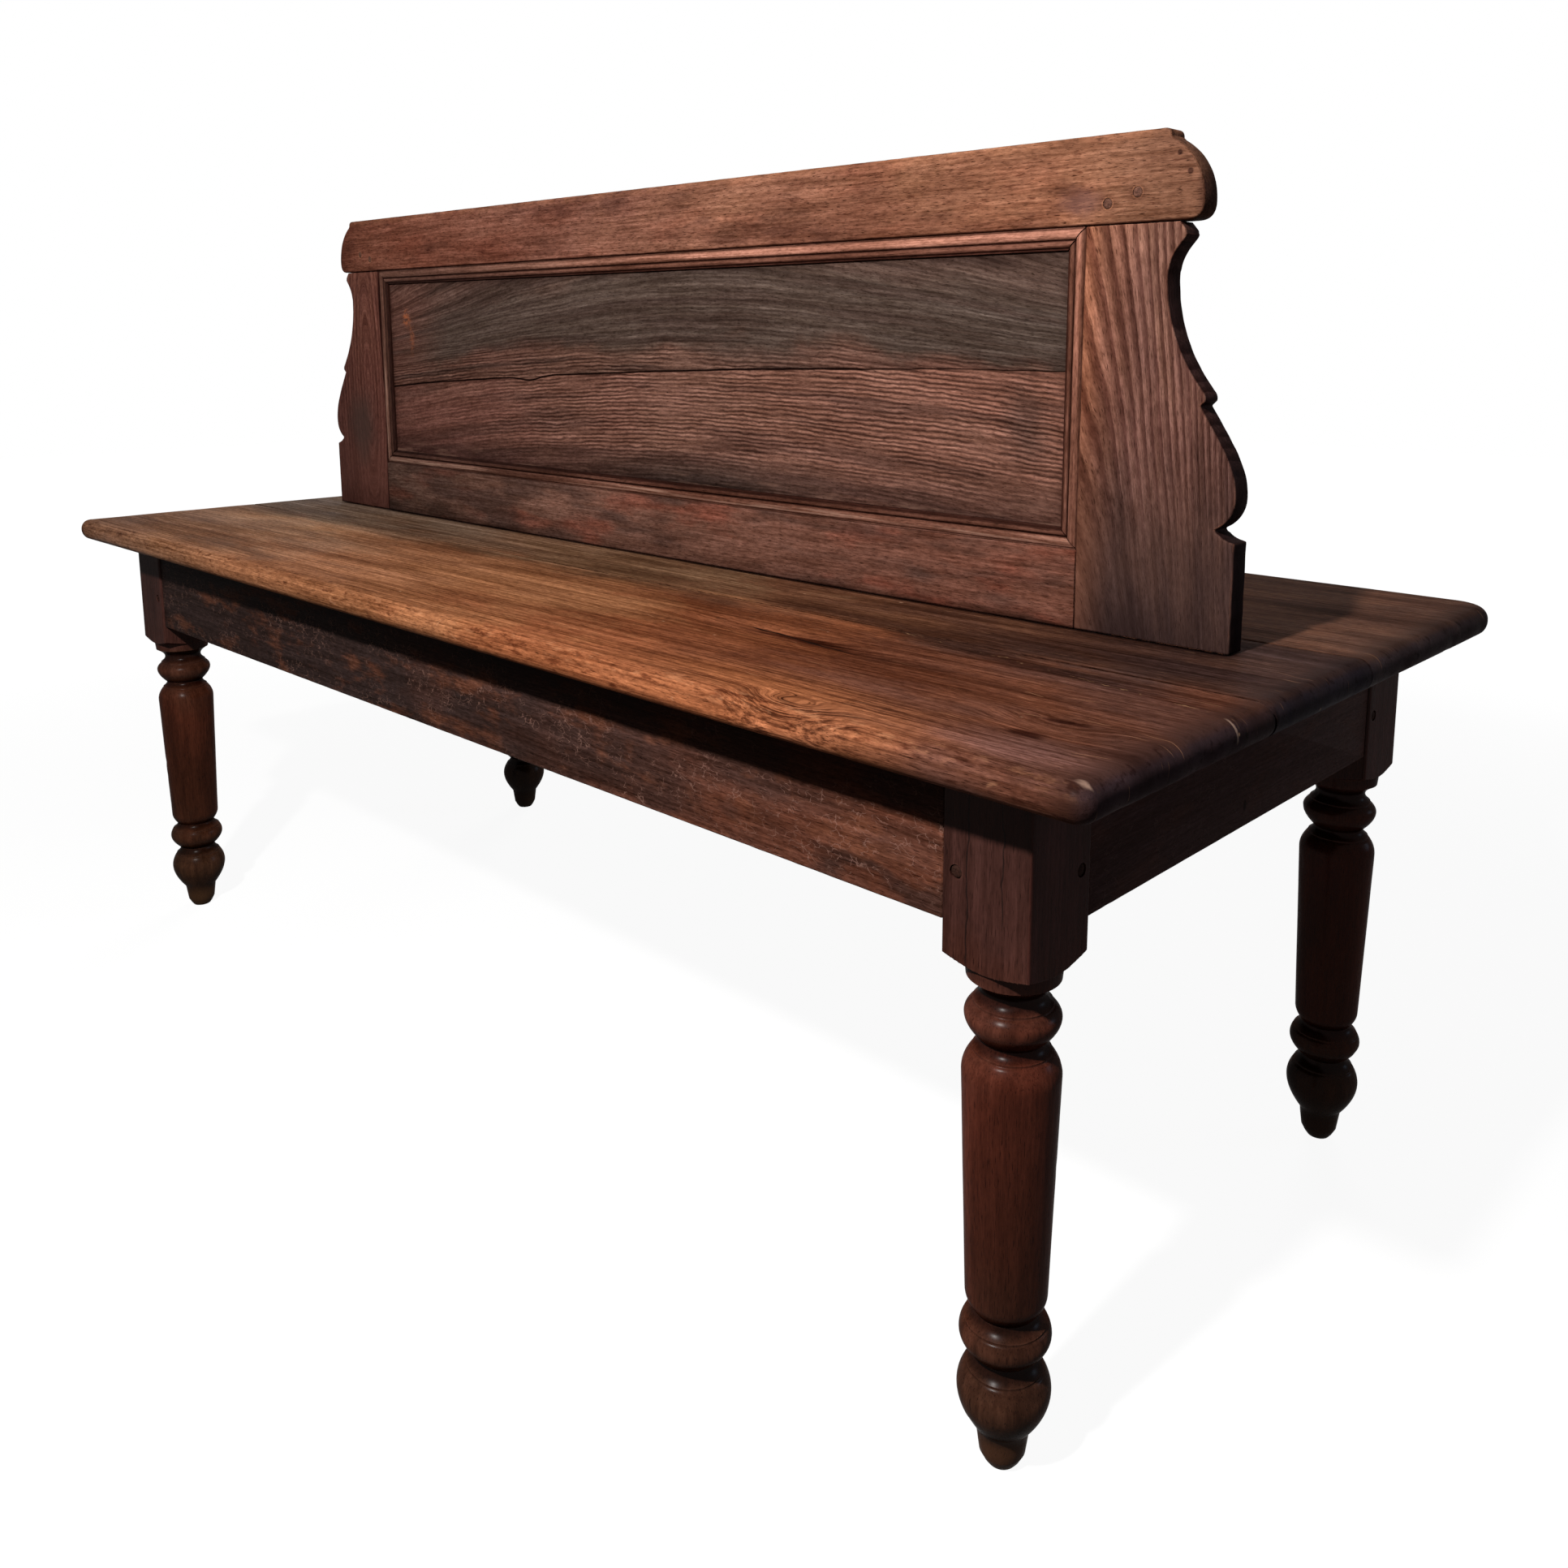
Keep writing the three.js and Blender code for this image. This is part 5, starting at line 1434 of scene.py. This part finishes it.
def leg_oak():
    """The legs: a thick brown polish, grime and painted shade in the turned hollows, rub and a painted
    highlight on the beads.
    """
    wood = Wood("leg_oak_polished")
    x, y, z = wood.x, wood.y, wood.z
    leg = middle_of("leg_front_right") / MM
    across = abs(x) - leg.x
    deep = abs(y) + leg.y
    radius = wood.vec("LENGTH", wood.vector(across, deep, 0))
    where = wood.wavy((60, 60, 140), (3, 3, 0), 8)
    figure = oak_figure(wood, "z", where, 121, streak=(46, 2.0), pore=(9, 0.6))
    share = z.rise(0, 428, smooth=False)
    base = wood.ramp(share + (figure.stain * 0.12 - 0.06), [
        (0.0, (56, 36, 25)), (0.2, (60, 35, 25)), (0.28, (66, 33, 22)), (0.55, (76, 36, 25)),
        (0.66, (64, 34, 25)), (0.78, (57, 33, 28)), (1.0, (52, 31, 27)),
    ])
    base = base.shade(figure.stain, (0.7, 0.66, 0.64), (1.24, 1.22, 1.2))
    colour = figured(base, figure, (0.8, 0.76, 0.74), (1.2, 1.22, 1.24), grit_amount=0.5)
    worn_foot = (figure.stain * 12 + z).rise(34, 14)
    colour = colour.mix(worn_foot * 0.5, (92, 60, 42))
    # Painted light on the outer end faces of the blocks.
    end_face_light = abs(x).rise(596.6, 597.6) * z.rise(312, 318)
    colour = colour.tint(end_face_light, (1.5, 1.3, 1.3))
    turned = z.rise(312, 306)
    # Painted shade: the left pair's turnings darker, as the lamp falls off towards them.
    left_pair_shade = x.rise(300, -300) * turned
    colour = colour.tint(left_pair_shade, (0.76, 0.82, 0.72))
    # Grime and painted shade where the turning is thin.
    hollow_grime_and_shade = radius.rise(24, 19) * turned * z.rise(30, 60)
    colour = colour.tint(hollow_grime_and_shade, (0.34, 0.3, 0.3))
    # Rub and a painted highlight on the crowns of the beads.
    crown = radius.rise(25.2, 27) * turned
    beads = z.rise(104, 96).larger(z.rise(252, 262))
    crown = crown * beads * figure.broad.rise(0.1, 0.8, 0.3, 1.0)
    colour = colour.tint(crown, (1.35, 1.35, 1.35))
    crack_place = wood.noise((8, 8, 26), 2.0, 0.6, 123) * 7 + x
    for offset, width, start in ((560.5, 0.8, 312), (583.5, 0.7, 340)):
        crack = abs(crack_place - offset).rise(width, width * 0.3) * z.rise(start, start + 12)
        crack = crack * y.rise(-248, -251)
        colour = colour.mix(crack * 0.75, (14, 9, 8))
    # Rub and a painted highlight on the arrises.
    arris_rub_and_highlight = wood.edge_wear_and_highlight(1.8) * wood.noise((14, 14, 20), 3.0, 0.6, 125).rise(0.42, 0.6)
    colour = colour.mix(arris_rub_and_highlight * 0.25, (106, 70, 56))
    height = figure_height(figure)
    return wood.finish(colour, height, 0.16, figure.stain.rise(0, 1, 0.24, 0.36), 0.014, 0.26)


def peg_oak(name, dark, light):
    """End grain: fine rings and open pores, darkened by old wax."""
    wood = Wood(name)
    pores = wood.noise((0.55, 0.55, 0.55), 1.0, 0.5, 3).rise(0.58, 0.7)
    rings = (wood.noise((9, 9, 9), 1.0, 0.4) * 60).sine()
    mottle = wood.noise((4, 4, 4), 3.0, 0.6, 6)
    base = wood.blend(mottle.rise(0.3, 0.7), dark, light)
    colour = base.shade(rings * 0.5 + 0.5, (0.78, 0.76, 0.74), (1.14, 1.14, 1.14))
    colour = colour.tint(pores, (0.5, 0.46, 0.44))
    height = mottle - pores * 0.5
    return wood.finish(colour, height, 0.15, 0.5, 0.004)


def hidden_oak():
    """Bare oak that nobody polished: paler, dusty, and crossed by the marks of the saw."""
    wood = Wood("hidden_oak_bare")
    figure = oak_figure(wood, "y", wood.place, 141, streak=(70, 2.4), pore=(9, 0.6))
    base = wood.blend(figure.stain, (92, 68, 50), (124, 92, 66))
    colour = figured(base, figure, (0.66, 0.62, 0.58), (1.26, 1.3, 1.34))
    sawn = wood.noise((30, 1.6, 30), 2.0, 0.6, 143)
    colour = colour.shade(sawn.rise(0.4, 0.65), (0.84, 0.82, 0.8), (1.06, 1.06, 1.06))
    height = sawn * 0.5 + figure_height(figure)
    return wood.finish(colour, height, 0.3, 0.75, 0.0)


# Dressing the pieces

def dress(material, *names):
    """Gives the named pieces or nodes one material."""
    for name in names:
        shown = bpy.data.objects.get(f"{name}_shown") or nodes[name]
        shown.data.materials.clear()
        shown.data.materials.append(material)


def named(*starts):
    """The names of the nodes that start in one of these ways."""
    return [name for name in nodes if name.startswith(starts)]


dress(seat_oak(), *named("seat_plank"))
dress(top_rail_oak(), "back_top_rail")
dress(bottom_rail_oak(), "back_bottom_rail")
dress(stile_oak(1), "back_stile_right")
dress(stile_oak(-1), "back_stile_left")
dress(panel_oak(True), "back_panel_upper")
dress(panel_oak(False), "back_panel_lower")
lying, standing = moulding_oak("x"), moulding_oak("z")
for face_name in ("front", "rear"):
    dress(lying, f"moulding_{face_name}_bottom", f"moulding_{face_name}_top")
    dress(standing, f"moulding_{face_name}_left", f"moulding_{face_name}_right")
dress(frame_oak("x"), "apron_front", "apron_rear")
dress(frame_oak("y"), "apron_left", "apron_right")
dress(leg_oak(), *named("leg_front", "leg_rear"))
dress(peg_oak("peg_oak_leg", (36, 24, 20), (54, 34, 28)), *named("leg_peg"))
dress(peg_oak("peg_oak_back", (72, 49, 42), (104, 72, 59)), *named("back_peg", "foot_peg"))
dress(hidden_oak(), *named("seat_bearer", "glue_block"))


# Floor, light and background

FLOOR_SIZE = 14.0
GLOW_LEVEL = 0.93
GLOW_NEAR = 0.9
GLOW_FAR = 2.6
FLOOR_SEEN = (0.09, 0.09, 0.09)
FLOOR_UNSEEN = (0.09, 0.08, 0.075)
FILL_COLOUR = (1.0, 0.97, 0.93)
FILL_FROM = -0.1
FILL_TO = 0.9
FILL_LOW = 0.01
FILL_HIGH = 0.06


def seen_or_unseen(tree, seen, unseen):
    """One shader for what is seen straight, mirrored or through something, and one for all other light."""
    rays = add_node(tree, "LightPath").outputs
    looks = rays["Is Camera Ray"]
    for more in ("Is Glossy Ray", "Is Transmission Ray"):
        looks = add_node(tree, "Math", {0: looks, 1: rays[more]}, operation="MAXIMUM").outputs[0]
    return add_node(tree, "MixShader", {0: looks, 1: unseen.outputs[0], 2: seen.outputs[0]}).outputs[0]


def add_floor():
    bpy.ops.mesh.primitive_plane_add(size=FLOOR_SIZE, location=(0, 0, 0))
    floor = bpy.context.object
    floor.name = "floor"
    material = bpy.data.materials.new("floor")
    tree = empty_tree(material)
    where = add_node(tree, "TexCoord").outputs["Object"]
    away = add_node(tree, "VectorMath", {0: where}, operation="LENGTH").outputs["Value"]
    level = add_node(tree, "MapRange", {
        "Value": away,
        "From Min": GLOW_NEAR,
        "From Max": GLOW_FAR,
        "To Min": GLOW_LEVEL,
        "To Max": 1.0,
    }, interpolation_type="SMOOTHSTEP")
    glow = add_node(tree, "Emission", {"Color": (1, 1, 1), "Strength": level.outputs["Result"]})
    pale = add_node(tree, "BsdfDiffuse", {"Color": FLOOR_SEEN})
    unseen = add_node(tree, "BsdfDiffuse", {"Color": FLOOR_UNSEEN})
    seen = add_node(tree, "AddShader", {0: glow.outputs[0], 1: pale.outputs[0]})
    add_node(tree, "OutputMaterial", {"Surface": seen_or_unseen(tree, seen, unseen)})
    floor.data.materials.append(material)


def add_world():
    world = bpy.data.worlds.new("studio")
    bpy.context.scene.world = world
    tree = empty_tree(world)
    way = add_node(tree, "SeparateXYZ", {0: add_node(tree, "TexCoord").outputs["Generated"]})
    level = add_node(tree, "MapRange", {
        "Value": way.outputs["Z"],
        "From Min": FILL_FROM,
        "From Max": FILL_TO,
        "To Min": FILL_LOW,
        "To Max": FILL_HIGH,
    })
    fill = add_node(tree, "Background", {"Color": FILL_COLOUR, "Strength": level.outputs["Result"]})
    white = add_node(tree, "Background", {"Color": (1, 1, 1), "Strength": 1.0})
    add_node(tree, "OutputWorld", {"Surface": seen_or_unseen(tree, white, fill)})


KEY_AT = (0.54, -1.14, 1.32)
KEY_WATTS = 128
KEY_RADIUS = 0.035


def add_key():
    key = bpy.data.lights.new("key", "POINT")
    key.energy = KEY_WATTS
    key.shadow_soft_size = KEY_RADIUS
    key.color = (1.0, 0.98, 0.96)
    lamp = bpy.data.objects.new("key", key)
    lamp.location = KEY_AT
    bpy.context.scene.collection.objects.link(lamp)


def add_sun(name, strength, degrees_wide, colour, towards_light, mirrored):
    """A sun that shines from a direction; only a mirrored one shows in the bench's gloss."""
    sun = bpy.data.lights.new(name, "SUN")
    sun.energy = strength
    sun.angle = math.radians(degrees_wide)
    sun.color = colour
    lamp = bpy.data.objects.new(name, sun)
    bpy.context.scene.collection.objects.link(lamp)
    lamp.rotation_euler = Vector(towards_light).to_track_quat("Z", "Y").to_euler()
    lamp.visible_glossy = mirrored


add_floor()
add_world()
add_key()
add_sun("back", 2.4, 30, (1.0, 0.97, 0.94), (-0.5, 0.95, 0.2), mirrored=False)
add_sun("side", 0.42, 14, (0.56, 0.74, 1.0), (0.7, 0.8, 0.3), mirrored=True)

bpy.context.scene.view_settings.view_transform = "Standard"
